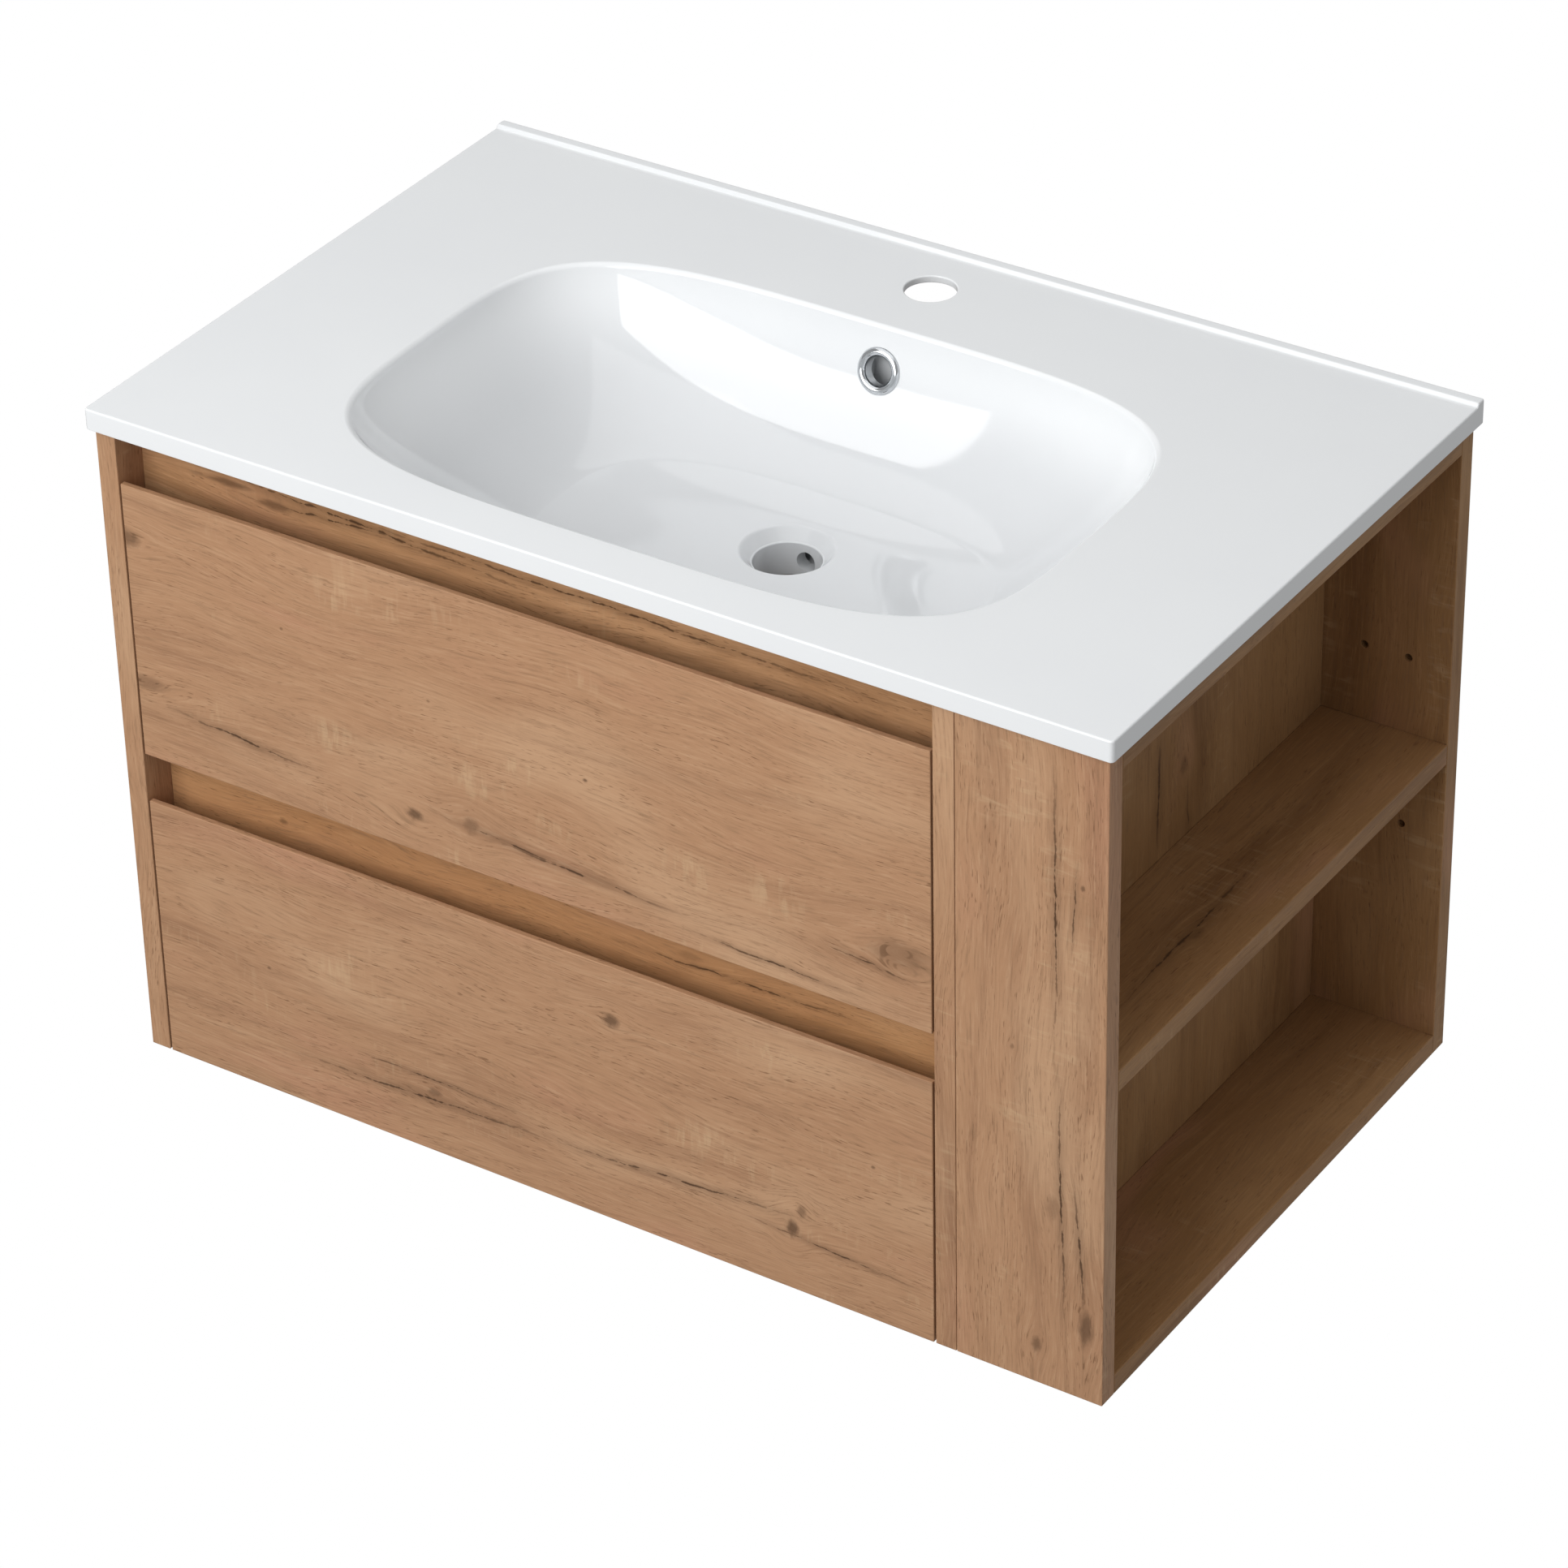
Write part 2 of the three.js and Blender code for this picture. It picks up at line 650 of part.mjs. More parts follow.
// The upper box is cut out in a U that is open at the back, around the drain and its trap.
const upper = startDrawer("upper", [upperFrontBottom, upperFrontTop], [upperBoxBottom, upperBoxTop]);
const cutoutHalf = cutoutWidth / 2;
const cutoutOuter = cutoutHalf + boxBoard;
const cutoutFront = drainY - cutoutFromDrain;

function upperDrawerBottom() {
  const cutout = [-cutoutHalf, cutoutHalf];
  const cutHeight = [upper.floor[0] - cutRun, upper.floor[1] + cutRun];
  return boxSolid(bottomSpan, boxRun, upper.floor).subtract(
    boxSolid(cutout, [cutoutFront, boxBack + cutRun], cutHeight),
  );
}

addSolid(upper.drawer, "upper_drawer_bottom", boxDecor, upperDrawerBottom());
const upperWalls = [
  { name: "upper_drawer_left_back", span: [boxInner[0], -cutoutOuter], run: backRun },
  { name: "upper_drawer_right_back", span: [cutoutOuter, boxInner[1]], run: backRun },
  { name: "upper_cutout_left_cheek", span: [-cutoutOuter, -cutoutHalf], run: [cutoutFront, boxBack] },
  { name: "upper_cutout_right_cheek", span: [cutoutHalf, cutoutOuter], run: [cutoutFront, boxBack] },
  {
    name: "upper_cutout_front",
    span: [-cutoutOuter, cutoutOuter],
    run: [cutoutFront - boxBoard, cutoutFront],
  },
];
upperWalls.forEach(({ name, span, run }) => addBoard(upper.drawer, name, boxDecor, span, run, upper.walls));

// ---- Full-extension runners --------------------------------------------------------------------

// Three folded channels nest in each runner: the outer one on the cabinet, the inner one on the
// drawer, and a middle one between them that travels half as far. Balls roll in the gaps.
const memberStep = 2 * (runnerSheet + ballDiameter);
const memberReach = runnerWidth - runnerSheet - webGap;
const middleWeb = runnerSheet + webGap;
const members = [
  { name: "fixed", web: 0, tip: memberReach, height: runnerHeight },
  { name: "middle", web: middleWeb, tip: memberReach, height: runnerHeight - memberStep },
  {
    name: "drawer_member",
    web: runnerWidth,
    tip: middleWeb + runnerSheet + webGap,
    height: runnerHeight - 2 * memberStep,
  },
];

// A member's web is the back of its channel and its two flanges end at the tip.
function runnerMember(wall, inward, middleZ, { web, tip, height }) {
  const across = (from, to) => [wall + inward * from, wall + inward * to].sort((a, b) => a - b);
  const towardsTip = Math.sign(tip - web);
  const run = [boxFront + frontGap, boxBack];
  const outline = boxSolid(across(web, tip), run, [middleZ - height / 2, middleZ + height / 2]);
  const clear = height / 2 - runnerSheet;
  const hollow = boxSolid(
    across(web + towardsTip * runnerSheet, tip + towardsTip * cutRun),
    [run[0] - cutRun, run[1] + cutRun],
    [middleZ - clear, middleZ + clear],
  );
  return outline.subtract(hollow);
}

const runnerPlaces = [
  { label: "upper", middleZ: upperBoxBottom + upperRunnerRaise },
  { label: "lower", middleZ: lowerBoxBottom + lowerRunnerRaise },
];
const runnerHands = [
  { hand: "left", wall: bayLeft, inward: 1 },
  { hand: "right", wall: bayRight, inward: -1 },
];

runnerPlaces.forEach(({ label, middleZ }) => {
  runnerHands.forEach(({ hand, wall, inward }) => {
    const runner = new THREE.Group();
    design.add(runner);
    members.forEach((member) => {
      const solid = runnerMember(wall, inward, middleZ, member);
      addSolid(runner, `${label}_${hand}_runner_${member.name}`, zincSteel, solid);
    });
  });
});

export default vanity;
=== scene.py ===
# %% [markdown]
# # A wall-hung washbasin vanity, finished around its solid model
#
# The object is a one-piece moulded basin top on a hanging cabinet: two drawers behind oak-pattern fronts,
# and an open shelf turned to the right. The solid model already says where each board, runner and drawer
# is. This lesson gives every piece the edges, curves and finish that it has in the shop, and leaves every
# place and size alone. Everything is in metres, with the origin between the wall bolts, +Z up and the front
# towards -Y.

# %% Load the solid model
import json
import math

import bmesh
import bpy
import numpy as np
from mathutils import Euler, Matrix, Vector
from mathutils.geometry import delaunay_2d_cdt


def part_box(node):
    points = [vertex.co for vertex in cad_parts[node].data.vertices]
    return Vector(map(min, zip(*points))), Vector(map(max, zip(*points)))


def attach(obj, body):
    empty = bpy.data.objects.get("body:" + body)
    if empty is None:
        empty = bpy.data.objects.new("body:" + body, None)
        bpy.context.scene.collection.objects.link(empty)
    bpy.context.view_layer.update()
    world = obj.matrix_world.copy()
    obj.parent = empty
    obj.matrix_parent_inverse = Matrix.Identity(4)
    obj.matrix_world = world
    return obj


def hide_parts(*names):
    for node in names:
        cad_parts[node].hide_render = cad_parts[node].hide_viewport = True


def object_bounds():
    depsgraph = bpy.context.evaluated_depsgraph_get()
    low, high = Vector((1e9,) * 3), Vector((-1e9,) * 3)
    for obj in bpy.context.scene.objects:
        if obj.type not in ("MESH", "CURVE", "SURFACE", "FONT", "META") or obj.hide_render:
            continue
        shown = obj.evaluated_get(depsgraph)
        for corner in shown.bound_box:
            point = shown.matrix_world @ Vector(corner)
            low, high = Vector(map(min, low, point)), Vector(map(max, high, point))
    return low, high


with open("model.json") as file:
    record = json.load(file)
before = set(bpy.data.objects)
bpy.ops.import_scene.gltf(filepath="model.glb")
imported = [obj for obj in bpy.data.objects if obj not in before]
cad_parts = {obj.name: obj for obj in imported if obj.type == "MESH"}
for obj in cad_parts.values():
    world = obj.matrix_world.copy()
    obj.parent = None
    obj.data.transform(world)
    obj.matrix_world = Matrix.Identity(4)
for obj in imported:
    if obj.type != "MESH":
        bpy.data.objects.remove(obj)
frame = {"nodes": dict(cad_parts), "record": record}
cad_low, cad_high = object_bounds()
MM = 0.001
print("solid model", len(frame["nodes"]), "nodes, from", tuple(cad_low), "to", tuple(cad_high))

# %% [markdown]
# ## A few small helpers
#
# Colours are chosen as sRGB hex, as on a paint card, but a shader works in linear light, so one function
# turns them. One function adds a node with its settings and its inputs, and an input given as a socket
# becomes a link. Another turns lists of points and faces into an object whose place is in its mesh, and the
# last lists the faces that join rings of points into a tube.

# %% Helpers for colours, nodes and meshes
def linear(card):
    channels = [int(card[i:i + 2], 16) / 255 for i in (1, 3, 5)]
    return [c / 12.92 if c <= 0.04045 else ((c + 0.055) / 1.055) ** 2.4 for c in channels] + [1.0]


def add(tree, kind, settings=None, inputs=None):
    made = tree.nodes.new(kind)
    for name, value in (settings or {}).items():
        setattr(made, name, value)
    for key, value in (inputs or {}).items():
        if isinstance(value, bpy.types.NodeSocket):
            tree.links.new(value, made.inputs[key])
        else:
            made.inputs[key].default_value = value
    return made


def piece_from(name, points, faces, merge=1e-6):
    mesh = bpy.data.meshes.new(name)
    mesh.from_pydata([tuple(p) for p in points], [], faces)
    work = bmesh.new()
    work.from_mesh(mesh)
    bmesh.ops.remove_doubles(work, verts=work.verts, dist=merge)
    bmesh.ops.recalc_face_normals(work, faces=work.faces)
    if work.calc_volume(signed=True) < 0:
        bmesh.ops.reverse_faces(work, faces=work.faces)
    work.to_mesh(mesh)
    work.free()
    made = bpy.data.objects.new(name, mesh)
    bpy.context.scene.collection.objects.link(made)
    return made


def bridged(rows, count):
    """Quads between neighbouring closed rows of count points each."""
    return [(r * count + i, r * count + (i + 1) % count, (r + 1) * count + (i + 1) % count,
             (r + 1) * count + i) for r in range(rows - 1) for i in range(count)]


print("oak mid tone in linear light", [round(c, 3) for c in linear("#b99470")])

# %% [markdown]
# ## The camera
#
# The camera stands to the right of the front and looks down at the top, from far off through a long lens,
# so the edges of the cabinet stay nearly parallel. Its place is given in metres from the wall bolts, and it
# is turned by three angles: round the upright, down from level, and a slight roll about its own line of
# sight.

# %% Place the camera
camera_azimuth = math.radians(33.622)
camera_elevation = math.radians(33.161)
camera_roll = math.radians(-1.306)
camera_eye = Vector((1.81118, -2.96053, 1.91709))
camera_data = bpy.data.cameras.new("camera")
camera_data.sensor_width = 36
camera_data.lens = 137.565
camera_data.clip_end = 100
camera = bpy.data.objects.new("camera", camera_data)
camera.location = camera_eye
aim = Euler((math.pi / 2 - camera_elevation, 0, camera_azimuth)).to_matrix()
camera.rotation_euler = (aim @ Matrix.Rotation(camera_roll, 3, "Z")).to_euler()
bpy.context.scene.collection.objects.link(camera)
bpy.context.scene.camera = camera
print("camera stands", round(camera_eye.length, 2), "m from the wall bolts")

# %% [markdown]
# ## Floor, backdrop and light
#
# The studio is a white cove: a floor far below the hanging cabinet that curves up into walls all round. Its
# paper glows and is set to be seen only by the camera, so it is a clean white that throws nothing back.
# What lights the object is a dim even world, one soft box in front and a little to the left, and a larger,
# weaker one overhead. The front then comes out brightest, the top a little greyer, and the open side stays
# in shade. Area lights are used for the boxes, because a gloss surface such as the basin shows a box's
# straight edges.

# %% Build the studio
scene = bpy.context.scene
scene.view_settings.view_transform = "Standard"
scene.view_settings.look = "None"
floor_drop = 0.36
floor_z = cad_low.z - floor_drop
cove_radius = 24.0
cove_bend = 6.0
cove_height = 22.0
cove_turn = [(cove_radius + cove_bend * math.sin(t), floor_z + cove_bend * (1 - math.cos(t)))
             for t in np.linspace(0, math.pi / 2, 9)]
cove_line = [(0.0, floor_z), *cove_turn, (cove_radius + cove_bend, cove_height),
             (0.0, cove_height + cove_bend)]
cove_sides = 48
cove_turns = [2 * math.pi * i / cove_sides for i in range(cove_sides)]
cove_points = [(r * math.cos(t), r * math.sin(t), z) for r, z in cove_line for t in cove_turns]
cove_faces = bridged(len(cove_line), cove_sides)
cove_mesh = bpy.data.meshes.new("floor")
cove_mesh.from_pydata(cove_points, [], cove_faces)
cove = bpy.data.objects.new("floor", cove_mesh)
scene.collection.objects.link(cove)
cove.visible_diffuse = False
cove.visible_glossy = False
cove.visible_transmission = False
cove.visible_shadow = False

# White backdrop paper lit from behind: what it sends out itself is already white.
paper = bpy.data.materials.new("backdrop_paper")
paper.use_nodes = True
paper.node_tree.nodes.clear()
paper_glow = add(paper.node_tree, "ShaderNodeEmission", None, {"Color": linear("#ffffff"), "Strength": 1.0})
add(paper.node_tree, "ShaderNodeOutputMaterial", None, {"Surface": paper_glow.outputs[0]})
cove_mesh.materials.append(paper)

world = bpy.data.worlds.new("studio")
scene.world = world
world.use_nodes = True
world.node_tree.nodes.clear()
sky = add(world.node_tree, "ShaderNodeBackground", None, {"Color": linear("#ffffff"), "Strength": 0.38})
add(world.node_tree, "ShaderNodeOutputWorld", None, {"Surface": sky.outputs[0]})


def soft_box(name, direction, distance, width, height, power):
    light = bpy.data.lights.new(name, "AREA")
    light.shape = "RECTANGLE"
    light.size = width
    light.size_y = height
    light.energy = power
    lamp = bpy.data.objects.new(name, light)
    towards = Vector(direction).normalized()
    target = (cad_low + cad_high) / 2
    lamp.location = target + towards * distance
    lamp.rotation_euler = towards.to_track_quat("Z", "Y").to_euler()
    scene.collection.objects.link(lamp)
    print(name, "lights from", tuple(round(c, 2) for c in lamp.location))
    return lamp


soft_box("front_box", direction=(-0.137, -0.864, 0.485), distance=2.65, width=2.3, height=1.8, power=51)
soft_box("overhead_box", direction=(-0.12, -0.05, 1.0), distance=3.0, width=4.4, height=3.8, power=42)

# %% [markdown]
# ## The basin's rule
#
# The basin top is one moulding: polyester resin with marble dust under a glossy gel coat, about 15 mm thick
# at the edge. Its bowl could be pushed out of a subdivided box, but then its corners would only be roughly
# right. The mould follows a rule instead: at each depth the wall is a soft rectangle (a superellipse), the
# walls lean in slowly at first and quickly near the foot, and the floor turns into a circle at the drain.
# So the bowl is a stack of rings, each worked out from its depth. The four walls lean by different amounts.

# %% The driving sizes of the basin
top_low, top_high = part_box("basin_top")
lip_height = 2.5 * MM
surface = top_high.z - lip_height
edge_height = 15 * MM
underside = surface - edge_height
deck_thickness = 5 * MM
edge_return = 14 * MM
front_line = top_low.y
half_top = top_high.x
rim_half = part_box("divider_panel")[0].x - 3 * MM
rim_front = front_line + 37 * MM
rim_back = -110 * MM
rim_rounding = 3 * MM
wall_depth = 97 * MM
bowl_depth = 107 * MM
bowl_wall = 6 * MM
side_lean = (92 * MM, 1.3)
front_lean = (80 * MM, 1.15)
back_lean = (61 * MM, 1.65)
rim_exponent = 4.0
floor_exponent = 3.0
drain_y = -227 * MM
recess_radius = 32 * MM
recess_depth = 9 * MM
throat_radius = 22.5 * MM
collar_radius = 32 * MM
collar_bottom = top_low.z
foot_crowding = 0.65
columns = 288


def lean(depth, wall):
    inset, sharpness = wall
    sunk = min(1.0, depth / wall_depth)
    return inset * (1 - (1 - sunk ** sharpness) ** (1 / sharpness))


def bowl_ring(depth, grow=0.0):
    low = rim_front + lean(depth, front_lean) - grow
    high = rim_back - lean(depth, back_lean) + grow
    share = min(1.0, depth / wall_depth)
    exponent = rim_exponent + (floor_exponent - rim_exponent) * share
    half_width = rim_half - lean(depth, side_lean) + grow
    return [half_width, (high - low) / 2, (high + low) / 2, exponent, surface - depth]


def floor_ring(share, foot, end_radius, end_z):
    end = [end_radius, end_radius, drain_y, 2.0]
    mixed = [a + (b - a) * share for a, b in zip(foot[:4], end)]
    return mixed + [foot[4] + (end_z - foot[4]) * math.sin(share * math.pi / 2)]


def round_ring(radius, z):
    return [radius, radius, drain_y, 2.0, z]


def ring_points(ring, count=columns):
    half_width, half_depth, middle, exponent, z = ring
    angle = np.arange(count) * 2 * math.pi / count
    c, s = np.cos(angle), np.sin(angle)
    reach = (np.abs(c) ** exponent + np.abs(s) ** exponent) ** (-1 / exponent)
    return np.stack([half_width * reach * c, middle + half_depth * reach * s, np.full(count, z)], 1)


print("bowl opening", round(2 * rim_half, 3), "by", round(rim_back - rim_front, 3), "m")

# %% The bowl's rings, from the rim down through the drain
def inner_rings():
    rings = []
    for turn in np.linspace(0, math.pi / 2, 9):
        rings.append(bowl_ring(rim_rounding * (1 - math.cos(turn)), rim_rounding * (1 - math.sin(turn))))
    # Rows crowd towards the foot, where the walls bend most.
    start = math.asin((rim_rounding / wall_depth) ** foot_crowding)
    for turn in np.linspace(start, math.pi / 2, 56)[1:]:
        rings.append(bowl_ring(wall_depth * math.sin(turn) ** (1 / foot_crowding)))
    foot = rings[-1]
    for share in np.linspace(0, 1, 31)[1:]:
        rings.append(floor_ring(share, foot, recess_radius, surface - bowl_depth))
    # The recess is a cone with a softly broken edge at the floor and another at the throat.
    throat_edge = 1.2 * MM
    fall = recess_depth - throat_edge
    run = recess_radius - throat_radius - throat_edge
    recess_edge = 2.2 * MM / run
    for share in np.linspace(0, 1, 21)[1:]:
        if share < recess_edge:
            softened = share * share / (2 * recess_edge)
        else:
            softened = share - recess_edge / 2
        softened /= 1 - recess_edge / 2
        rings.append(round_ring(recess_radius - run * share, surface - bowl_depth - fall * softened))
    for turn in np.linspace(0, math.pi / 2, 6)[1:]:
        radius = throat_radius + throat_edge * (1 - math.sin(turn))
        rings.append(round_ring(radius, surface - bowl_depth - fall - throat_edge * (1 - math.cos(turn))))
    rings.append(round_ring(throat_radius, collar_bottom + 1 * MM))
    rings.append(round_ring(throat_radius + 1 * MM, collar_bottom))
    return rings


def outer_rings(spread, last_radius, rows=22):
    rings = []
    start = math.asin((deck_thickness / wall_depth) ** foot_crowding)
    for turn in np.linspace(start, math.pi / 2, rows):
        depth = wall_depth * math.sin(turn) ** (1 / foot_crowding)
        ring = bowl_ring(depth, spread)
        ring[4] -= spread * (depth - deck_thickness) / (wall_depth - deck_thickness)
        rings.append(ring)
    foot = rings[-1]
    for share in np.linspace(0, 1, 10)[1:]:
        rings.append(floor_ring(share, foot, last_radius, surface - bowl_depth - spread))
    return rings


bowl_rings = inner_rings()
shell_rings = outer_rings(bowl_wall, recess_radius + bowl_wall)
shell_rings.append(round_ring(collar_radius + 2 * MM, surface - bowl_depth - bowl_wall - 1.5 * MM))
shell_rings.append(round_ring(collar_radius, surface - bowl_depth - bowl_wall - 4 * MM))
shell_rings.append(round_ring(collar_radius, collar_bottom + 1 * MM))
shell_rings.append(round_ring(collar_radius - 1 * MM, collar_bottom))
print(len(bowl_rings), "rings inside the bowl and", len(shell_rings), "outside it")

# %% [markdown]
# ## The slab, its lip and the holes
#
# Round the bowl the moulding is a flat deck, a thin shell whose edges turn down to look 15 mm thick. The
# edges are eased by little more than a millimetre, which is what draws the bright line along a moulded
# edge, and a low lip stands along the wall side so that water stays off the wall. A flat face with holes is
# easiest to fill with a constrained triangulation: the outline, the bowl's rim and the tap hole are its
# fixed lines. Flat faces shade the same however they are cut up.

# %% Outline, lip and tap hole
top_arris = 1.3 * MM
foot_arris = 0.8 * MM
front_corner = 3 * MM
back_corner = 1.6 * MM
lip_run = (-9.6 * MM, -7.0 * MM)
lip_steps = [float(y) for y in np.linspace(lip_run[0], lip_run[1], 9)]
tap_place = (0.0, -52 * MM)
tap_radius = 17.5 * MM


def lip_rise(y):
    share = min(1.0, max(0.0, (y - lip_run[0]) / (lip_run[1] - lip_run[0])))
    return lip_height * share * share * (3 - 2 * share)


def outline():
    """Points round the slab with the direction that faces out, anticlockwise from the front left corner."""
    places = []

    def corner(x, y, radius, start):
        for turn in np.linspace(start, start + math.pi / 2, 7):
            places.append((x + radius * math.cos(turn), y + radius * math.sin(turn),
                           math.cos(turn), math.sin(turn)))

    corner(-half_top + front_corner, front_line + front_corner, front_corner, math.pi)
    corner(half_top - front_corner, front_line + front_corner, front_corner, 1.5 * math.pi)
    places.extend((half_top, y, 1.0, 0.0) for y in lip_steps)
    corner(half_top - back_corner, -back_corner, back_corner, 0)
    corner(-half_top + back_corner, -back_corner, back_corner, math.pi / 2)
    places.extend((-half_top, y, -1.0, 0.0) for y in reversed(lip_steps))
    return np.array(places)


def outline_row(inset, drop=None, z=None):
    base = outline()
    rise = np.array([lip_rise(y) for y in base[:, 1]])
    level = np.full(len(base), z) if z is not None else surface + rise - drop
    return np.column_stack([base[:, 0] - base[:, 2] * inset, base[:, 1] - base[:, 3] * inset, level])


def circle_row(centre, radius, z, count=72):
    angle = np.arange(count) * 2 * math.pi / count
    return np.column_stack([centre[0] + radius * np.cos(angle), centre[1] + radius * np.sin(angle),
                            np.full(count, z)])


def bridge(rows):
    return bridged(len(rows), len(rows[0]))


def filled(outer, holes, crossings=()):
    """Triangles of a flat face between its outline and its holes. crossings are extra lines across it."""
    loops = [outer, *holes]
    points = np.concatenate(loops)
    edges, start = [], 0
    for loop in loops:
        edges.extend((start + i, start + (i + 1) % len(loop)) for i in range(len(loop)))
        start += len(loop)
    edges.extend(crossings)
    result = delaunay_2d_cdt([Vector(p[:2]) for p in points], edges, [], 1, 1e-7)
    flat, origins = result[0], result[3]
    heights = [points[o[0]][2] if o else outer[0][2] for o in origins]
    kept = []
    for face in result[2]:
        x = sum(flat[i].x for i in face) / len(face)
        y = sum(flat[i].y for i in face) / len(face)
        if not any(inside_loop(x, y, hole) for hole in holes):
            kept.append(tuple(face))
    return [(p.x, p.y, h) for p, h in zip(flat, heights)], kept


def inside_loop(x, y, loop):
    ahead = np.roll(loop, -1, axis=0)
    crosses = (loop[:, 1] > y) != (ahead[:, 1] > y)
    span = np.where(crosses, ahead[:, 1] - loop[:, 1], 1.0)
    reach = loop[:, 0] + (y - loop[:, 1]) / span * (ahead[:, 0] - loop[:, 0])
    return bool(np.count_nonzero(crosses & (x < reach)) % 2)


print("outline has", len(outline()), "points")

# %% Join the parts of the moulding into one closed shell
shell_points, shell_faces = [], []


def collect(points, faces):
    start = len(shell_points)
    shell_points.extend(tuple(p) for p in points)
    shell_faces.extend(tuple(start + i for i in face) for face in faces)


bowl_rows = [ring_points(ring) for ring in bowl_rings]
under_rows = [ring_points(ring) for ring in shell_rings]
all_rows = [*bowl_rows, *reversed(under_rows)]
collect(np.concatenate(all_rows), bridge(all_rows))

edge_rows = [outline_row(top_arris * (1 - math.sin(t)), drop=top_arris * (1 - math.cos(t)))
             for t in np.linspace(0, math.pi / 2, 6)]
edge_rows.append(outline_row(0, z=underside + foot_arris))
edge_rows.append(outline_row(foot_arris * 0.3, z=underside + foot_arris * 0.3))
edge_rows.append(outline_row(foot_arris, z=underside))
collect(np.concatenate(edge_rows), bridge(edge_rows))

tap_arris = 1.0 * MM
tap_rows = [circle_row(tap_place, tap_radius + tap_arris * (1 - math.sin(t)),
                       surface - tap_arris * (1 - math.cos(t))) for t in np.linspace(0, math.pi / 2, 5)]
deck_low = surface - deck_thickness
tap_rows.append(circle_row(tap_place, tap_radius, deck_low + 0.5 * MM))
tap_rows.append(circle_row(tap_place, tap_radius + 0.5 * MM, deck_low))
collect(np.concatenate(tap_rows), bridge(tap_rows))

base = outline()
right_ends = [i for i, p in enumerate(base) if p[2] == 1.0 and p[1] in lip_steps]
left_ends = [i for i, p in enumerate(base) if p[2] == -1.0 and p[1] in lip_steps]
lip_lines = list(zip(right_ends, reversed(left_ends)))
collect(*filled(edge_rows[0], [bowl_rows[0], tap_rows[0]], lip_lines))


def inner_line(inset, z):
    """The line where the turned-down edge ends, a plain rectangle inside the outline."""
    x0, x1, y0, y1 = -half_top + inset, half_top - inset, front_line + inset, -inset
    return np.array([(x0, y0, z), (x1, y0, z), (x1, y1, z), (x0, y1, z)])


# Under the deck the moulding is hollow: the edge turns down and ends in a narrow foot.
return_rows = [inner_line(edge_return - foot_arris, underside),
               inner_line(edge_return, underside + foot_arris),
               inner_line(edge_return, deck_low - foot_arris),
               inner_line(edge_return + foot_arris, deck_low)]
collect(np.concatenate(return_rows), bridge(return_rows))
collect(*filled(edge_rows[-1], [return_rows[0]]))
collect(*filled(return_rows[-1], [under_rows[0], tap_rows[-1]]))
basin = piece_from("basin_top_moulding", shell_points, shell_faces)
check = bmesh.new()
check.from_mesh(basin.data)
open_edges = sum(1 for e in check.edges if len(e.link_faces) != 2)
print("basin shell", len(basin.data.polygons), "faces, open edges", open_edges,
      "volume", round(check.calc_volume() * 1000, 3), "litres")
check.free()

# %% [markdown]
# ## The overflow: bore, port and duct
#
# Water that rises too high runs through a bore in the back wall, down a hollow duct behind the bowl and out
# through a side port into the drain. The bore and the port are drilled after moulding, so here too they are
# cut with a boolean from the closed shell. The duct is moulded on from behind: a rounded box without a
# front, cut to the back of the bowl by the bowl's own outside.

# %% Cut the bore and the port
def turned(profile, count, centre, axis):
    """A closed body of revolution. profile is a list of (distance along the axis, radius)."""
    along = Vector(axis).normalized()
    across = along.orthogonal().normalized()
    third = along.cross(across)
    points, faces = [], []
    for distance, radius in profile:
        for i in range(count):
            angle = 2 * math.pi * i / count
            spoke = across * math.cos(angle) + third * math.sin(angle)
            points.append(Vector(centre) + along * distance + spoke * radius)
    rings = len(profile)
    for r in range(rings):
        lower, upper = r * count, ((r + 1) % rings) * count
        if r == rings - 1 and profile[0][1] < 1e-6 and profile[-1][1] < 1e-6:
            break
        faces.extend((lower + i, lower + (i + 1) % count, upper + (i + 1) % count, upper + i)
                     for i in range(count))
    clean = []
    for face in faces:
        corners = []
        for i in face:
            if not any((points[i] - points[j]).length < 1e-7 for j in corners):
                corners.append(i)
        if len(corners) > 2:
            clean.append(tuple(corners))
    return points, clean


def boolean(piece, operation, *others):
    for other in others:
        step = piece.modifiers.new(operation.lower(), "BOOLEAN")
        step.operation = operation
        step.object = other
        step.solver = "EXACT"
    baked(piece)
    for other in others:
        bpy.data.objects.remove(other)
    return piece


def baked(piece):
    """Fix what the piece's modifiers make as its plain mesh."""
    seen = piece.evaluated_get(bpy.context.evaluated_depsgraph_get())
    mesh = bpy.data.meshes.new_from_object(seen, preserve_all_data_layers=True,
                                           depsgraph=bpy.context.evaluated_depsgraph_get())
    piece.modifiers.clear()
    piece.data = mesh
    return piece


overflow_depth = 30.5 * MM
step = 0.5 * MM
overflow_tilt = math.atan2(lean(overflow_depth + step, back_lean) - lean(overflow_depth, back_lean), step)
overflow_place = Vector((0, rim_back - lean(overflow_depth, back_lean), surface - overflow_depth))
overflow_axis = Vector((0, -math.cos(overflow_tilt), math.sin(overflow_tilt)))
bore_radius = 12 * MM
seat_radius = 15.8 * MM
bore_profile = [(-12 * MM, 0), (-12 * MM, bore_radius), (0, bore_radius), (0, seat_radius),
                (6 * MM, seat_radius), (6 * MM, 0)]
bore = piece_from("bore", *turned(bore_profile, 64, overflow_place, overflow_axis))
port_radius = 7 * MM
port_z = surface - bowl_depth - 21 * MM
port_reach = 31 * MM
port_profile = [(0, 0), (0, port_radius), (port_reach, port_radius), (port_reach, 0)]
port = piece_from("port", *turned(port_profile, 40, (0, drain_y + 2 * MM, port_z), (0, 1, 0)))
boolean(basin, "DIFFERENCE", bore, port)
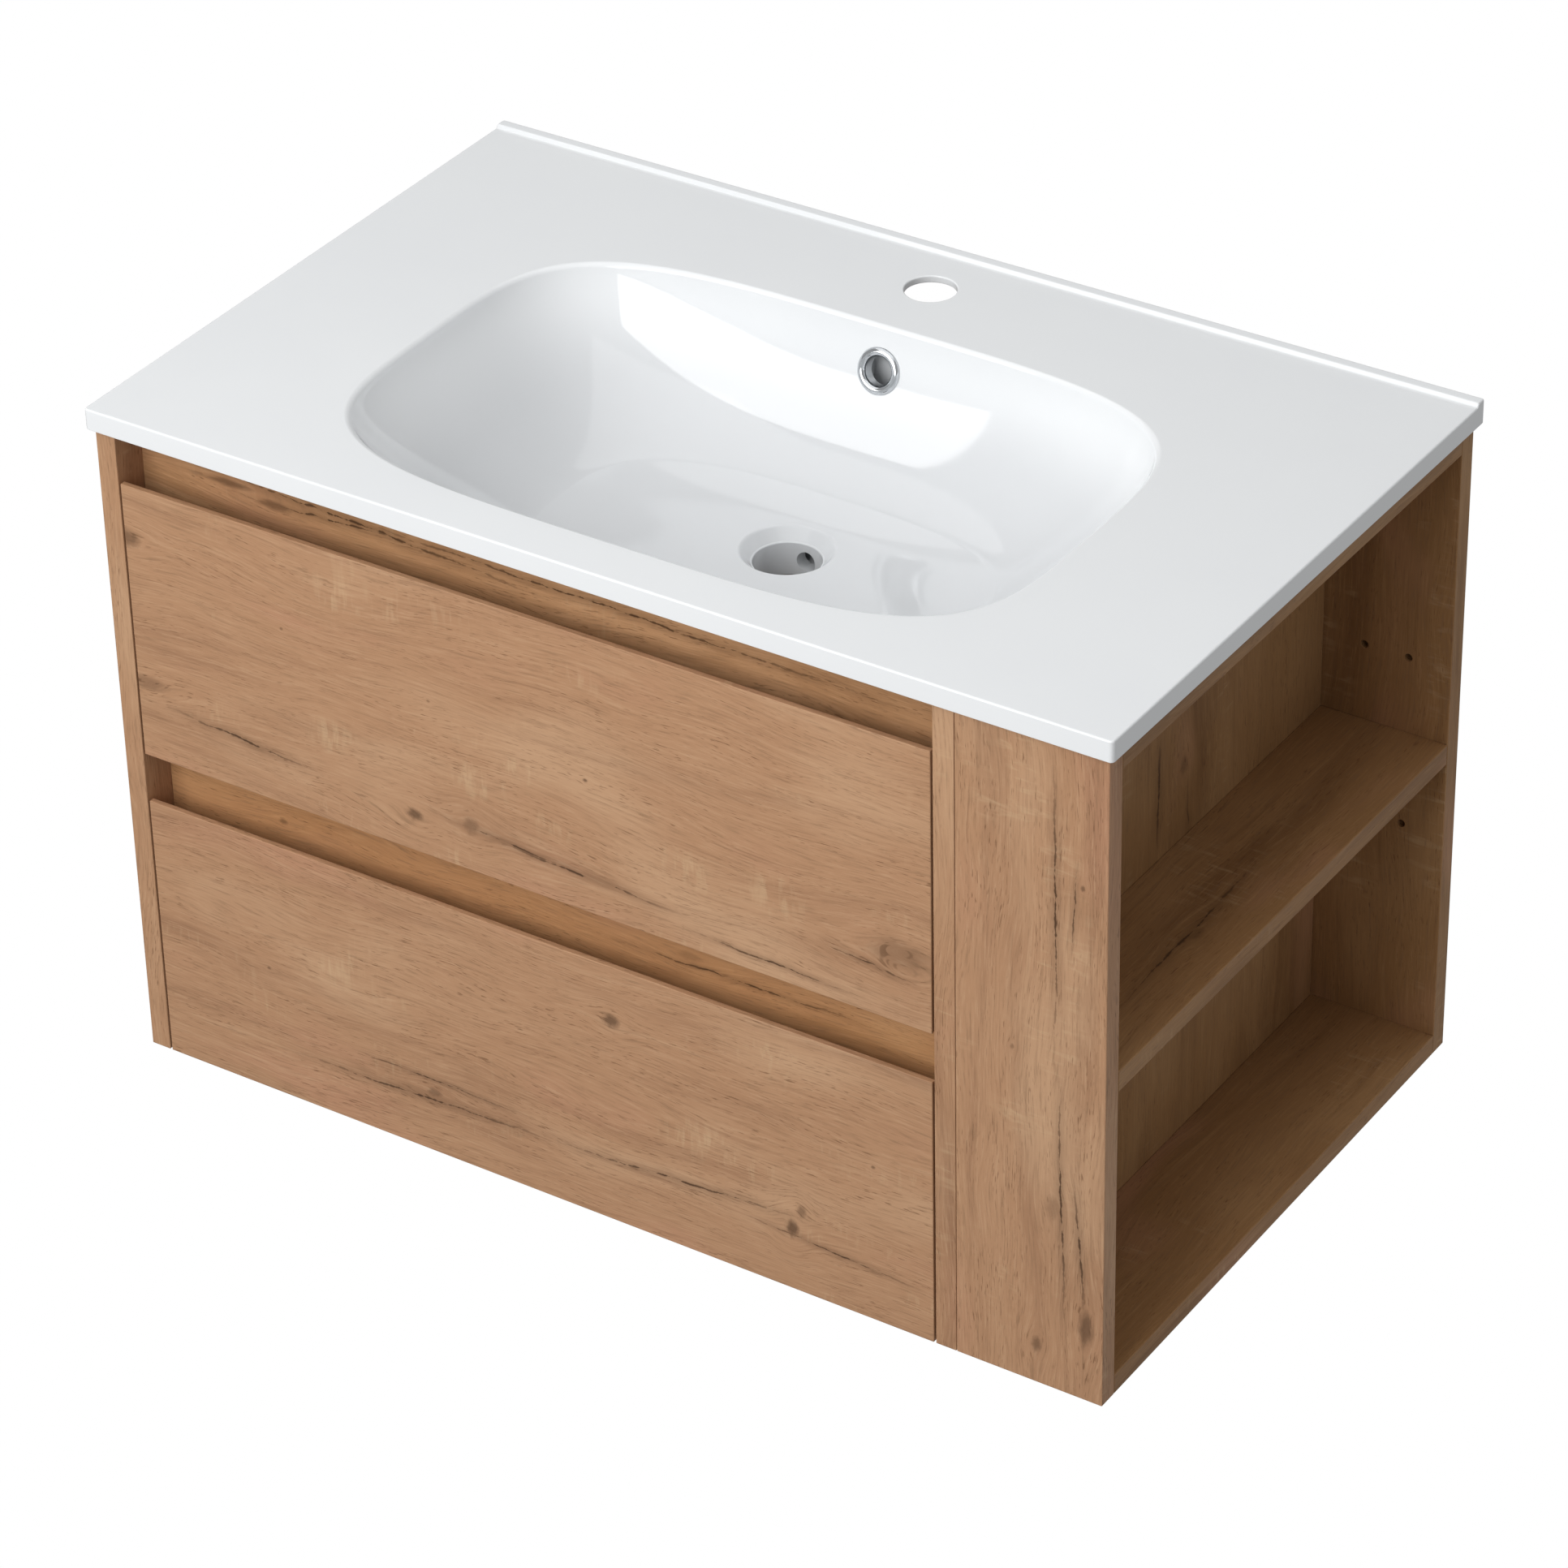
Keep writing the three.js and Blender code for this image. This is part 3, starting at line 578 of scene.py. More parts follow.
print("overflow at", tuple(round(c, 4) for c in overflow_place),
      "tilted", round(math.degrees(overflow_tilt), 1))

# %% Build the duct behind the bowl
duct_back = -92 * MM
duct_wall = 5 * MM
duct_half = 20 * MM


def duct_solid(name, margin, half):
    back = duct_back - margin
    low = collar_bottom + margin
    ceiling = surface - deck_thickness / 2 - margin * 2
    front = drain_y + throat_radius + margin
    side = [(back, ceiling), (back + 2 * (rim_back - duct_back), ceiling), (front, surface - wall_depth),
            (front, low), (back - back_lean[0], low), (back, surface - wall_depth * 0.6)]
    points = [(x, y, z) for x in (-half, half) for y, z in side]
    count = len(side)
    faces = [tuple(range(count)), tuple(range(2 * count - 1, count - 1, -1))]
    return piece_from(name, points, faces + bridged(2, count))


def capped(name, rings, count=96):
    rows = [ring_points(ring, count) for ring in rings]
    points = np.concatenate(rows)
    last = (len(rows) - 1) * count
    caps = [tuple(range(count)), tuple(range(last + count - 1, last - 1, -1))]
    return piece_from(name, points, bridge(rows) + caps)


duct = duct_solid("overflow_duct", 0, duct_half)
rounding = duct.modifiers.new("edges", "BEVEL")
rounding.width = 3.5 * MM
rounding.segments = 4
baked(duct)
embed = 1.5 * MM
back_rings = outer_rings(bowl_wall - embed, recess_radius + bowl_wall - embed, 20)
back_rings.insert(0, [*back_rings[0][:4], surface + 5 * MM])
bowl_back = capped("bowl_back", back_rings)
collar_slug = [(collar_bottom - 5 * MM, 0), (collar_bottom - 5 * MM, collar_radius - embed),
               (surface - wall_depth, collar_radius - embed), (surface - wall_depth, 0)]
collar_cut = piece_from("collar_cut", *turned(collar_slug, 64, (0, drain_y, 0), (0, 0, 1)))
boolean(duct, "DIFFERENCE", duct_solid("channel", duct_wall, duct_half - duct_wall), bowl_back, collar_cut)
print("duct", len(duct.data.polygons), "faces", [round(v, 3) for v in duct.dimensions])

# %% [markdown]
# ## The overflow ring
#
# The ring is turned and chrome plated: a domed flange that covers the raw edge of the bore and a sleeve
# that grips it. A lathe would follow one profile round an axis, and so does this: the profile is a few
# arcs. Because it is a mirror, its curve has to be smooth, so the profile has many short steps.

# %% Turn the overflow ring
flange_radius = 15.5 * MM
opening_radius = 9.75 * MM
flange_height = 2.6 * MM
sleeve_depth = 8 * MM
seat_gap = 0.3 * MM


def arc(centre, radii, start, end, steps):
    turns = [math.radians(t) for t in np.linspace(start, end, steps)]
    return [(centre[0] + radii[0] * math.sin(t), centre[1] + radii[1] * math.cos(t)) for t in turns]


sleeve_radius = bore_radius - seat_gap
crown = (flange_radius + opening_radius) / 2
flange_edge = 0.4 * MM
dome_drop = 0.6 * MM
ring_profile = [(-sleeve_depth, opening_radius + flange_edge), (-sleeve_depth, sleeve_radius),
                (seat_gap, sleeve_radius), (seat_gap, flange_radius - 0.3 * MM),
                (seat_gap + flange_edge, flange_radius)]
ring_profile += arc((seat_gap + flange_edge, crown),
                    (flange_height - flange_edge, flange_radius - crown), 0, 90, 14)[1:]
ring_profile += arc((seat_gap - dome_drop, crown),
                    (flange_height + dome_drop, crown - opening_radius), 90, 180, 14)[1:]
ring_profile = [(d, r if r >= opening_radius else opening_radius) for d, r in ring_profile]
ring = piece_from("overflow_ring_chrome", *turned(ring_profile, 96, overflow_place, overflow_axis))
print("overflow ring", len(ring.data.polygons), "faces")

# %% [markdown]
# ## Shade the curved pieces smoothly
#
# A smooth shaded mesh averages the normals of its faces. On a slab with tiny rounded edges that would make
# the big flat faces look dented, so the average is weighted by face area: the flat face wins and the narrow
# rounding turns.

# %% Weight the normals by face area
def smooth(piece, sharp_angle=35):
    mesh = piece.data
    mesh.polygons.foreach_set("use_smooth", [True] * len(mesh.polygons))
    mesh.set_sharp_from_angle(angle=math.radians(sharp_angle))
    weights = piece.modifiers.new("weights", "WEIGHTED_NORMAL")
    weights.keep_sharp = True
    weights.weight = 50
    return baked(piece)


for piece in (basin, duct, ring):
    smooth(piece)
print("smoothed", basin.name, duct.name, ring.name)

# %% [markdown]
# ## The boards
#
# The cabinet is chipboard covered with an oak-pattern paper and edged with the same. The solid model has
# every board with dead sharp edges. A real edge is broken by half a millimetre, and that thin line catches
# the light and parts one board from the next. Each board is therefore a copy of its solid: the triangles
# are merged back into flat faces, the long edges get a small two-step rounding, and the solid itself is
# hidden.

# %% Copy a solid and break its edges
arris = 0.6 * MM
shortest_edge = 3.5 * MM


def board_from(node, name, width=arris, steps=2):
    work = bmesh.new()
    work.from_mesh(frame["nodes"][node].data)
    bmesh.ops.remove_doubles(work, verts=work.verts, dist=1e-6)
    bmesh.ops.dissolve_limit(work, angle_limit=math.radians(1), verts=work.verts, edges=work.edges)
    long_edges = [e for e in work.edges
                  if len(e.link_faces) == 2 and e.calc_face_angle() > math.radians(30)
                  and e.calc_length() > shortest_edge]
    bmesh.ops.bevel(work, geom=long_edges, offset=width, segments=steps, profile=0.5,
                    affect="EDGES", clamp_overlap=True)
    bmesh.ops.triangulate(work, faces=[f for f in work.faces if len(f.verts) > 4])
    mesh = bpy.data.meshes.new(name)
    work.to_mesh(mesh)
    work.free()
    made = bpy.data.objects.new(name, mesh)
    scene.collection.objects.link(made)
    return made


board_slots = {"oak_decor", "drawer_box"}
slot_of = {part["node"]: part["material_slot"] for part in frame["record"]["subparts"]}
boards = {node: board_from(node, node + "_board") for node, slot in slot_of.items() if slot in board_slots}
print("boards", len(boards), "with", sum(len(b.data.polygons) for b in boards.values()), "faces")

# %% [markdown]
# ## Lay the paper on the boards
#
# The oak pattern is printed on paper rolls, so it has a direction and every board is a piece cut from the
# roll. A UV map says the same thing: U runs along the grain and V across it, in real metres, so a pore
# drawn 4 mm long is 4 mm long on each board. Edges are banded with a strip of the same paper that runs
# along the edge. A board that shows the pattern plainly keeps its own corner as the start of the map, so
# knots can be placed in millimetres.

# %% Map each board in metres along its grain
def paper_map(piece, grain, show, roll_place):
    """grain is the axis of the grain, show the sign and axis of the face that is looked at."""
    mesh = piece.data
    points = np.array([v.co for v in mesh.vertices])
    low = points.min(0)
    along = "xyz".index(grain)
    thin = "xyz".index(show[1])
    across = 3 - along - thin
    facing = 1 if show[0] == "+" else -1
    back_place, edge_place, end_place = (3.1, 1.7), (0.4, 0.93), (1.3, 2.2)
    layer = mesh.uv_layers.new(name="paper")
    for polygon in mesh.polygons:
        normal = polygon.normal
        main = max(range(3), key=lambda k: abs(normal[k]))
        for loop in polygon.loop_indices:
            at = points[mesh.loops[loop].vertex_index] - low
            u, v = at[along], at[across]
            if main == thin and normal[thin] * facing < 0:
                u, v = u + back_place[0], v + back_place[1]
            elif main == across:
                u, v = at[along] + edge_place[0], at[thin] + edge_place[1]
            elif main == along:
                u, v = at[across] + end_place[0], at[thin] + end_place[1]
            layer.data[loop].uv = (u + roll_place[0], v + roll_place[1])


# Grain axis and shown face of each board; boxes are named with the drawer they belong to.
board_lay = {
    "upper_drawer_front": "x-y", "lower_drawer_front": "x-y", "upper_grip_rail": "x-y",
    "middle_grip_rail": "x-y", "left_side_panel": "z-x", "divider_panel": "z+x", "bottom_panel": "x-z",
    "upper_back_rail": "x-y", "lower_back_rail": "x-y", "shelf_front_panel": "z-y",
    "shelf_rear_panel": "z-y", "shelf_inner_wall": "z+x", "shelf_top": "y-z", "middle_shelf": "y+z",
    "shelf_bottom": "y+z",
}
own_paper = {"upper_drawer_front", "lower_drawer_front", "upper_grip_rail", "middle_grip_rail",
             "shelf_front_panel", "shelf_inner_wall", "middle_shelf"}


def lay_of(node, size):
    if node in board_lay:
        return board_lay[node]
    thin = "xyz"[int(np.argmin(size))]
    grain = "y" if thin == "x" else "x"
    return grain + "+" + thin


roll = np.random.default_rng(7)
for node, board in boards.items():
    points = np.array([v.co for v in board.data.vertices])
    lay = lay_of(node, points.max(0) - points.min(0))
    place = (0.0, 0.0) if node in own_paper else tuple(roll.uniform(5, 30, 2))
    paper_map(board, lay[0], lay[1:], place)
print("boards mapped", len(boards), "with their own paper", len(own_paper))

# %% [markdown]
# ## Knots and cracks
#
# Printed knotty oak has three marks that the eye looks for: smoky knots that the grain flows round, thin
# dark cracks that wander along the grain, and light ray flecks. A knot and a crack are used many times with
# different places and sizes, so each is a node group, as a stamp is cut once and used often.

# %% Make the knot and crack stamps
def stamp_group(name, sockets):
    group = bpy.data.node_groups.new(name, "ShaderNodeTree")
    for socket, kind, direction in sockets:
        group.interface.new_socket(socket, in_out=direction, socket_type=kind)
    return group, group.nodes.new("NodeGroupInput"), group.nodes.new("NodeGroupOutput")


def knot_stamp():
    group, given, made = stamp_group("oak_knot", [
        ("Paper", "NodeSocketVector", "INPUT"), ("Centre", "NodeSocketVector", "INPUT"),
        ("Size", "NodeSocketVector", "INPUT"), ("Ragged", "NodeSocketFloat", "INPUT"),
        ("Shade", "NodeSocketFloat", "OUTPUT"), ("Push", "NodeSocketVector", "OUTPUT")])
    away = add(group, "ShaderNodeVectorMath", {"operation": "SUBTRACT"},
               {0: given.outputs["Paper"], 1: given.outputs["Centre"]})
    scaled = add(group, "ShaderNodeVectorMath", {"operation": "DIVIDE"},
                 {0: away.outputs[0], 1: given.outputs["Size"]})
    reach = add(group, "ShaderNodeVectorMath", {"operation": "LENGTH"}, {0: scaled.outputs[0]})
    edge = add(group, "ShaderNodeTexNoise", None,
               {"Vector": scaled.outputs[0], "Scale": 1.6, "Detail": 4.0, "Roughness": 0.65})
    wander = add(group, "ShaderNodeMath", {"operation": "MULTIPLY_ADD"},
                 {0: edge.outputs[0], 1: given.outputs["Ragged"], 2: reach.outputs[1]})
    middle = add(group, "ShaderNodeMath", {"operation": "MULTIPLY_ADD"},
                 {0: given.outputs["Ragged"], 1: -0.5, 2: wander.outputs[0]})
    shade = add(group, "ShaderNodeMapRange", {"interpolation_type": "SMOOTHSTEP"},
                {0: middle.outputs[0], 1: 1.0, 2: 0.25, 3: 0.0, 4: 1.0})
    fade = add(group, "ShaderNodeMapRange", {"interpolation_type": "SMOOTHSTEP"},
               {0: reach.outputs[1], 1: 3.6, 2: 0.0, 3: 0.0, 4: -0.75})
    across_only = add(group, "ShaderNodeVectorMath", {"operation": "MULTIPLY"},
                      {0: away.outputs[0], 1: (0.0, 1.0, 0.0)})
    push = add(group, "ShaderNodeVectorMath", {"operation": "SCALE"},
               {0: across_only.outputs[0], "Scale": fade.outputs[0]})
    group.links.new(shade.outputs[0], made.inputs["Shade"])
    group.links.new(push.outputs[0], made.inputs["Push"])
    return group


def crack_stamp():
    group, given, made = stamp_group("oak_crack", [
        ("Along", "NodeSocketFloat", "INPUT"), ("Across", "NodeSocketFloat", "INPUT"),
        ("Wander", "NodeSocketFloat", "INPUT"), ("Break", "NodeSocketFloat", "INPUT"),
        ("From", "NodeSocketFloat", "INPUT"), ("To", "NodeSocketFloat", "INPUT"),
        ("Start across", "NodeSocketFloat", "INPUT"), ("End across", "NodeSocketFloat", "INPUT"),
        ("Width", "NodeSocketFloat", "INPUT"), ("Shade", "NodeSocketFloat", "OUTPUT")])
    line = add(group, "ShaderNodeMapRange", None,
               {0: given.outputs["Along"], 1: given.outputs["From"], 2: given.outputs["To"],
                3: given.outputs["Start across"], 4: given.outputs["End across"]})
    share = add(group, "ShaderNodeMapRange", None,
                {0: given.outputs["Along"], 1: given.outputs["From"], 2: given.outputs["To"],
                 3: 0.0, 4: math.pi})
    swell = add(group, "ShaderNodeMath", {"operation": "SINE"}, {0: share.outputs[0]})
    middle = add(group, "ShaderNodeMath", {"operation": "ADD"},
                 {0: line.outputs[0], 1: given.outputs["Wander"]})
    off = add(group, "ShaderNodeMath", {"operation": "SUBTRACT"},
              {0: given.outputs["Across"], 1: middle.outputs[0]})
    far = add(group, "ShaderNodeMath", {"operation": "ABSOLUTE"}, {0: off.outputs[0]})
    width = add(group, "ShaderNodeMath", {"operation": "MULTIPLY"},
                {0: given.outputs["Width"], 1: given.outputs["Break"]})
    core = add(group, "ShaderNodeMapRange", {"interpolation_type": "SMOOTHSTEP"},
               {0: far.outputs[0], 1: width.outputs[0], 2: 0.0, 3: 0.0, 4: 1.0})
    halo_width = add(group, "ShaderNodeMath", {"operation": "MULTIPLY"}, {0: given.outputs["Width"], 1: 6.0})
    halo = add(group, "ShaderNodeMapRange", {"interpolation_type": "SMOOTHSTEP"},
               {0: far.outputs[0], 1: halo_width.outputs[0], 2: 0.0, 3: 0.0, 4: 0.3})
    both = add(group, "ShaderNodeMath", {"operation": "MAXIMUM"}, {0: core.outputs[0], 1: halo.outputs[0]})
    shade = add(group, "ShaderNodeMath", {"operation": "MULTIPLY", "use_clamp": True},
                {0: both.outputs[0], 1: swell.outputs[0]})
    group.links.new(shade.outputs[0], made.inputs["Shade"])
    return group


knot_group = knot_stamp()
crack_group = crack_stamp()
print("stamps", knot_group.name, crack_group.name)

# %% [markdown]
# ## Oak-pattern paper
#
# The finish is melamine: printed paper under a hard, matt, finely textured resin skin, so its roughness is
# middling and its bump is slight. The print is built as the eye reads it: broad tone bands first, then
# streaks, then fine grain and short dark pores, then light ray flecks, and last the knots and cracks. Each
# layer is a noise stretched to a real length along the grain and width across it. Pores in oak are about
# 0.3 mm wide, and they are drawn wider than that so that they show at all.

# %% Build the oak paper
def stretched_noise(tree, paper, length, width, seed, detail=3.0, roughness=0.55, distortion=0.0):
    place = add(tree, "ShaderNodeMapping", None,
                {"Vector": paper, "Location": (seed * 3.7, seed * 1.9, seed * 5.3),
                 "Scale": (1 / length, 1 / width, 1.0)})
    return add(tree, "ShaderNodeTexNoise", None,
               {"Vector": place.outputs[0], "Scale": 1.0, "Detail": detail, "Roughness": roughness,
                "Distortion": distortion}).outputs[0]


def share_of(tree, value, low, high, top=1.0):
    return add(tree, "ShaderNodeMapRange", {"interpolation_type": "SMOOTHSTEP"},
               {0: value, 1: low, 2: high, 3: 0.0, 4: top}).outputs[0]


def blended(tree, share, below, above):
    return add(tree, "ShaderNodeMix", {"data_type": "RGBA"}, {0: share, 6: below, 7: above}).outputs[2]


def times(tree, a, b):
    return add(tree, "ShaderNodeMath", {"operation": "MULTIPLY"}, {0: a, 1: b}).outputs[0]


def moved(tree, place, by):
    return add(tree, "ShaderNodeVectorMath", {"operation": "ADD"}, {0: place, 1: by}).outputs[0]


def stronger(tree, marks, mark):
    """Where two marks meet, the stronger one shows."""
    if marks is None:
        return mark
    return add(tree, "ShaderNodeMath", {"operation": "MAXIMUM"}, {0: marks, 1: mark}).outputs[0]


def knot_at(tree, board, u, v, length, height, ragged):
    return add(tree, "ShaderNodeGroup", {"node_tree": knot_group}, {
        "Paper": board, "Centre": (u * MM, v * MM, 0), "Size": (length * MM, height * MM, 1.0),
        "Ragged": ragged})


def oak_paper(name, tones, sheet=0.0, knots=(), cracks=(), flecks=(), loose_knots=True, calm=1.0):
    """tones: light, middle and dark print colours. In mm on the board, knots: (u, v, length, height,
    darkness), cracks: (from u, to u, from v, to v, width), flecks: (u, v, length, height)."""
    light, middle, dark = (linear(card) for card in tones)
    paper_finish = bpy.data.materials.new(name)
    paper_finish.use_nodes = True
    tree = paper_finish.node_tree
    tree.nodes.clear()
    board = add(tree, "ShaderNodeUVMap", {"uv_map": "paper"}).outputs[0]

    # Knots push the grain aside before any grain is drawn.
    grain = moved(tree, board, (sheet, sheet * 0.37, 0))
    marks = None
    for u, v, length, height, darkness in knots:
        stamp = knot_at(tree, board, u, v, length, height, 0.9)
        grain = moved(tree, grain, stamp.outputs["Push"])
        marks = stronger(tree, marks, times(tree, stamp.outputs["Shade"], darkness))

    # The grain wavers slowly along its length.
    waver = stretched_noise(tree, grain, 0.30, 0.09, sheet + 0.3, detail=2.0)
    waver_off = add(tree, "ShaderNodeMath", {"operation": "MULTIPLY_ADD"}, {0: waver, 1: 0.05, 2: -0.025})
    waver_move = add(tree, "ShaderNodeCombineXYZ", None, {1: waver_off.outputs[0]})
    grain = moved(tree, grain, waver_move.outputs[0])

    bands = stretched_noise(tree, grain, 0.42, 0.042, sheet + 1.1, detail=3.0, distortion=0.3)
    patches = stretched_noise(tree, grain, 0.20, 0.085, sheet + 2.3, detail=2.0)
    streaks = stretched_noise(tree, grain, 0.16, 0.0055, sheet + 3.1, detail=4.0, roughness=0.6)
    fine = stretched_noise(tree, grain, 0.022, 0.0012, sheet + 4.7, detail=3.0, roughness=0.6)
    pores = stretched_noise(tree, grain, 0.0085, 0.00085, sheet + 5.9, detail=1.0)
    pore_beds = stretched_noise(tree, grain, 0.11, 0.010, sheet + 6.1, detail=2.0)
    rays = stretched_noise(tree, grain, 0.0045, 0.022, sheet + 7.7, detail=2.0, distortion=0.35)
    ray_beds = stretched_noise(tree, grain, 0.10, 0.040, sheet + 8.3, detail=2.0)

    colour = blended(tree, share_of(tree, bands, 0.24, 0.52, 0.85), dark, middle)
    colour = blended(tree, share_of(tree, patches, 0.47, 0.74, 0.55 * calm), colour, light)
    pinkish = linear("#b8876a")
    smoky = linear("#86684d")
    colour = blended(tree, share_of(tree, patches, 0.44, 0.26, 0.50 * calm), colour, pinkish)
    colour = blended(tree, share_of(tree, streaks, 0.56, 0.80, 0.60), colour, dark)
    colour = blended(tree, share_of(tree, streaks, 0.44, 0.22, 0.45), colour, light)
    colour = blended(tree, share_of(tree, fine, 0.50, 0.74, 0.52), colour, smoky)
    colour = blended(tree, share_of(tree, fine, 0.50, 0.26, 0.42), colour, light)

    ray_share = times(tree, share_of(tree, rays, 0.50, 0.72, 0.30), share_of(tree, ray_beds, 0.56, 0.72))
    for u, v, length, height in flecks:
        patch = knot_at(tree, board, u, v, length, height, 1.0)
        ripple = times(tree, patch.outputs["Shade"], share_of(tree, rays, 0.42, 0.70, 0.36))
        ray_share = stronger(tree, ray_share, ripple)
    colour = blended(tree, ray_share, colour, linear("#ceb08b"))

    pore_share = times(tree, share_of(tree, pores, 0.60, 0.72, 0.62), share_of(tree, pore_beds, 0.36, 0.62))
    colour = blended(tree, pore_share, colour, linear("#6b4a30"))

    split = add(tree, "ShaderNodeSeparateXYZ", None, {0: board})
    length_only = add(tree, "ShaderNodeCombineXYZ", None, {0: split.outputs[0]}).outputs[0]
    wander_noise = stretched_noise(tree, length_only, 0.045, 1.0, sheet + 9.1, detail=5.0, roughness=0.6)
    wander = add(tree, "ShaderNodeMath", {"operation": "MULTIPLY_ADD"},
                 {0: wander_noise, 1: 9 * MM, 2: -4.5 * MM})
    breaks = stretched_noise(tree, length_only, 0.014, 1.0, sheet + 10.3, detail=3.0, roughness=0.7)
    broken = share_of(tree, breaks, 0.38, 0.60, 1.7)
    for u0, u1, v0, v1, width in cracks:
        stamp = add(tree, "ShaderNodeGroup", {"node_tree": crack_group}, {
            "Along": split.outputs[0], "Across": split.outputs[1], "Wander": wander.outputs[0],
            "Break": broken, "From": u0 * MM, "To": u1 * MM, "Start across": v0 * MM,
            "End across": v1 * MM, "Width": width * MM})
        marks = stronger(tree, marks, stamp.outputs["Shade"])
    if loose_knots:
        # Boards cut from elsewhere on the roll get knots where a sparse cell pattern happens to put them.
        cells = add(tree, "ShaderNodeMapping", None, {"Vector": grain, "Scale": (4.2, 9.0, 1.0)})
        spots = add(tree, "ShaderNodeTexVoronoi", None, {"Vector": cells.outputs[0], "Scale": 1.0})
        spot = share_of(tree, spots.outputs["Distance"], 0.085, 0.02, 0.75)
        marks = stronger(tree, marks, spot)
    if marks is not None:
        colour = blended(tree, marks, colour, linear("#4a3220"))

    height = add(tree, "ShaderNodeMath", {"operation": "ADD"},
                 {0: times(tree, fine, 0.5), 1: times(tree, pore_share, -0.9)})
    skin = add(tree, "ShaderNodeBump", None,
               {"Height": height.outputs[0], "Strength": 0.22, "Distance": 0.15 * MM})
    sheen = add(tree, "ShaderNodeMapRange", None, {0: streaks, 1: 0.3, 2: 0.7, 3: 0.42, 4: 0.52})
    shader = add(tree, "ShaderNodeBsdfPrincipled", None, {
        "Base Color": colour, "Roughness": sheen.outputs[0], "IOR": 1.5, "Specular IOR Level": 0.22,
        "Normal": skin.outputs[0]})
    add(tree, "ShaderNodeOutputMaterial", None, {"Surface": shader.outputs[0]})
    return paper_finish


oak_tones = ("#c6a17f", "#b58b69", "#926b4f")
# Painted shade: the shelf's boards are printed deeper than the oak, standing in for the shade in the open
# shelf.
shelf_painted_shade_tones = ("#b38c62", "#9f774e", "#7d5937")
box_tones = ("#c0a078", "#ad8861", "#957353")
print("oak tones", oak_tones)

# %% [markdown]
# ## The paper of each board
#
# The boards in plain view have knots, cracks and light flecks of their own, placed in millimetres from the
# board's corner. A cabinet like this has one paper throughout, so the tones that differ below are painted
# light and shade. The rails behind the grips are printed warmer and lighter, a painted light so that they
# still read in their shadow. The shelf's boards are printed deeper, a painted shade so that the shaded side
# stays dark. The rest share one plain oak. The drawer boxes have a calm, pale paper of their own.

# %% Print the paper of each board
finishes = {
    "upper_drawer_front": oak_paper(
        "oak_paper_upper_front", oak_tones, 2.0,
        knots=[(3, 165, 13, 9, 0.55), (8, 58, 24, 7, 0.35), (219, 28, 9, 6, 0.65), (263, 34, 10, 9, 0.45),
               (353, 99, 2.6, 1.8, 0.7), (581, 50, 34, 17, 0.34), (590, 46, 12, 6, 0.35),
               (122, 135, 2, 1.6, 0.5), (235, 118, 2, 1.5, 0.4)],
        cracks=[(20, 150, 44, 33, 1.3), (228, 350, 34, 27, 1.0), (270, 430, 30, 22, 1.2),
                (520, 598, 40, 33, 1.0), (420, 560, 14, 9, 0.9)],
        flecks=[(157, 66, 30, 16), (271, 70, 34, 18), (300, 88, 26, 12), (423, 57, 32, 20),
                (492, 62, 30, 22)],
        loose_knots=False),
    "lower_drawer_front": oak_paper(
        "oak_paper_lower_front", oak_tones, 11.0,
        knots=[(365, 159, 9, 7, 0.7), (221, 48, 9, 5, 0.5), (499, 48, 7, 10, 0.75), (506, 64, 5, 7, 0.5),
               (560, 120, 2.4, 1.8, 0.6), (90, 100, 2.2, 1.6, 0.5)],
        cracks=[(95, 330, 38, 45, 1.3), (300, 520, 46, 58, 1.2), (150, 300, 60, 56, 0.8),
                (455, 600, 44, 38, 0.9)],
        flecks=[(150, 120, 30, 18), (430, 90, 40, 20)],
        loose_knots=False),
    # Painted light: the grip rails are printed warmer and lighter than the fronts, standing in for light in
    # the grips' shadow.
    "upper_grip_rail": oak_paper(
        "oak_paper_upper_rail_painted_light", ("#cda37b", "#b88c64", "#8f6946"), 21.0,
        knots=[(70, 30, 26, 4, 0.6), (105, 24, 22, 5, 0.6), (180, 30, 30, 4, 0.4)],
        cracks=[(10, 330, 41, 20, 1.5), (120, 600, 33, 26, 1.2), (60, 240, 24, 30, 1.2)], loose_knots=False),
    # Painted light: this rail too is printed warmer and lighter, standing in for light in its shadow.
    "middle_grip_rail": oak_paper(
        "oak_paper_middle_rail_painted_light", ("#cda072", "#ba8a60", "#9d6f45"), 33.0,
        knots=[(92, 22, 5, 3, 0.5), (410, 30, 14, 5, 0.3)], cracks=[(330, 560, 22, 26, 0.9)],
        loose_knots=False),
    "shelf_front_panel": oak_paper(
        "oak_paper_shelf_front", oak_tones, 45.0,
        knots=[(56, 93, 20, 7, 0.65), (30, 58, 9, 5, 0.55), (381, 88, 3.2, 2.2, 0.6), (250, 40, 3, 2, 0.4),
               (140, 70, 14, 8, 0.3)],
        cracks=[(250, 473, 70, 68, 1.3), (40, 250, 78, 72, 1.1), (60, 170, 92, 84, 1.2),
                (330, 400, 80, 84, 0.8)],
        flecks=[(420, 30, 14, 30), (200, 50, 16, 30)], loose_knots=False),
    # Painted shade: the shelf's boards take the deeper print that stands in for the shelf's shade.
    "shelf_inner_wall": oak_paper(
        "oak_paper_inner_wall_painted_shade", shelf_painted_shade_tones, 57.0,
        knots=[(300, 240, 10, 6, 0.4)], cracks=[(250, 345, 208, 210, 1.8), (120, 300, 250, 246, 1.2)],
        loose_knots=False),
    "middle_shelf": oak_paper(
        "oak_paper_middle_shelf_painted_shade", shelf_painted_shade_tones, 71.0,
        knots=[(150, 60, 14, 7, 0.4)], cracks=[(40, 260, 62, 52, 1.4)], loose_knots=False),
}
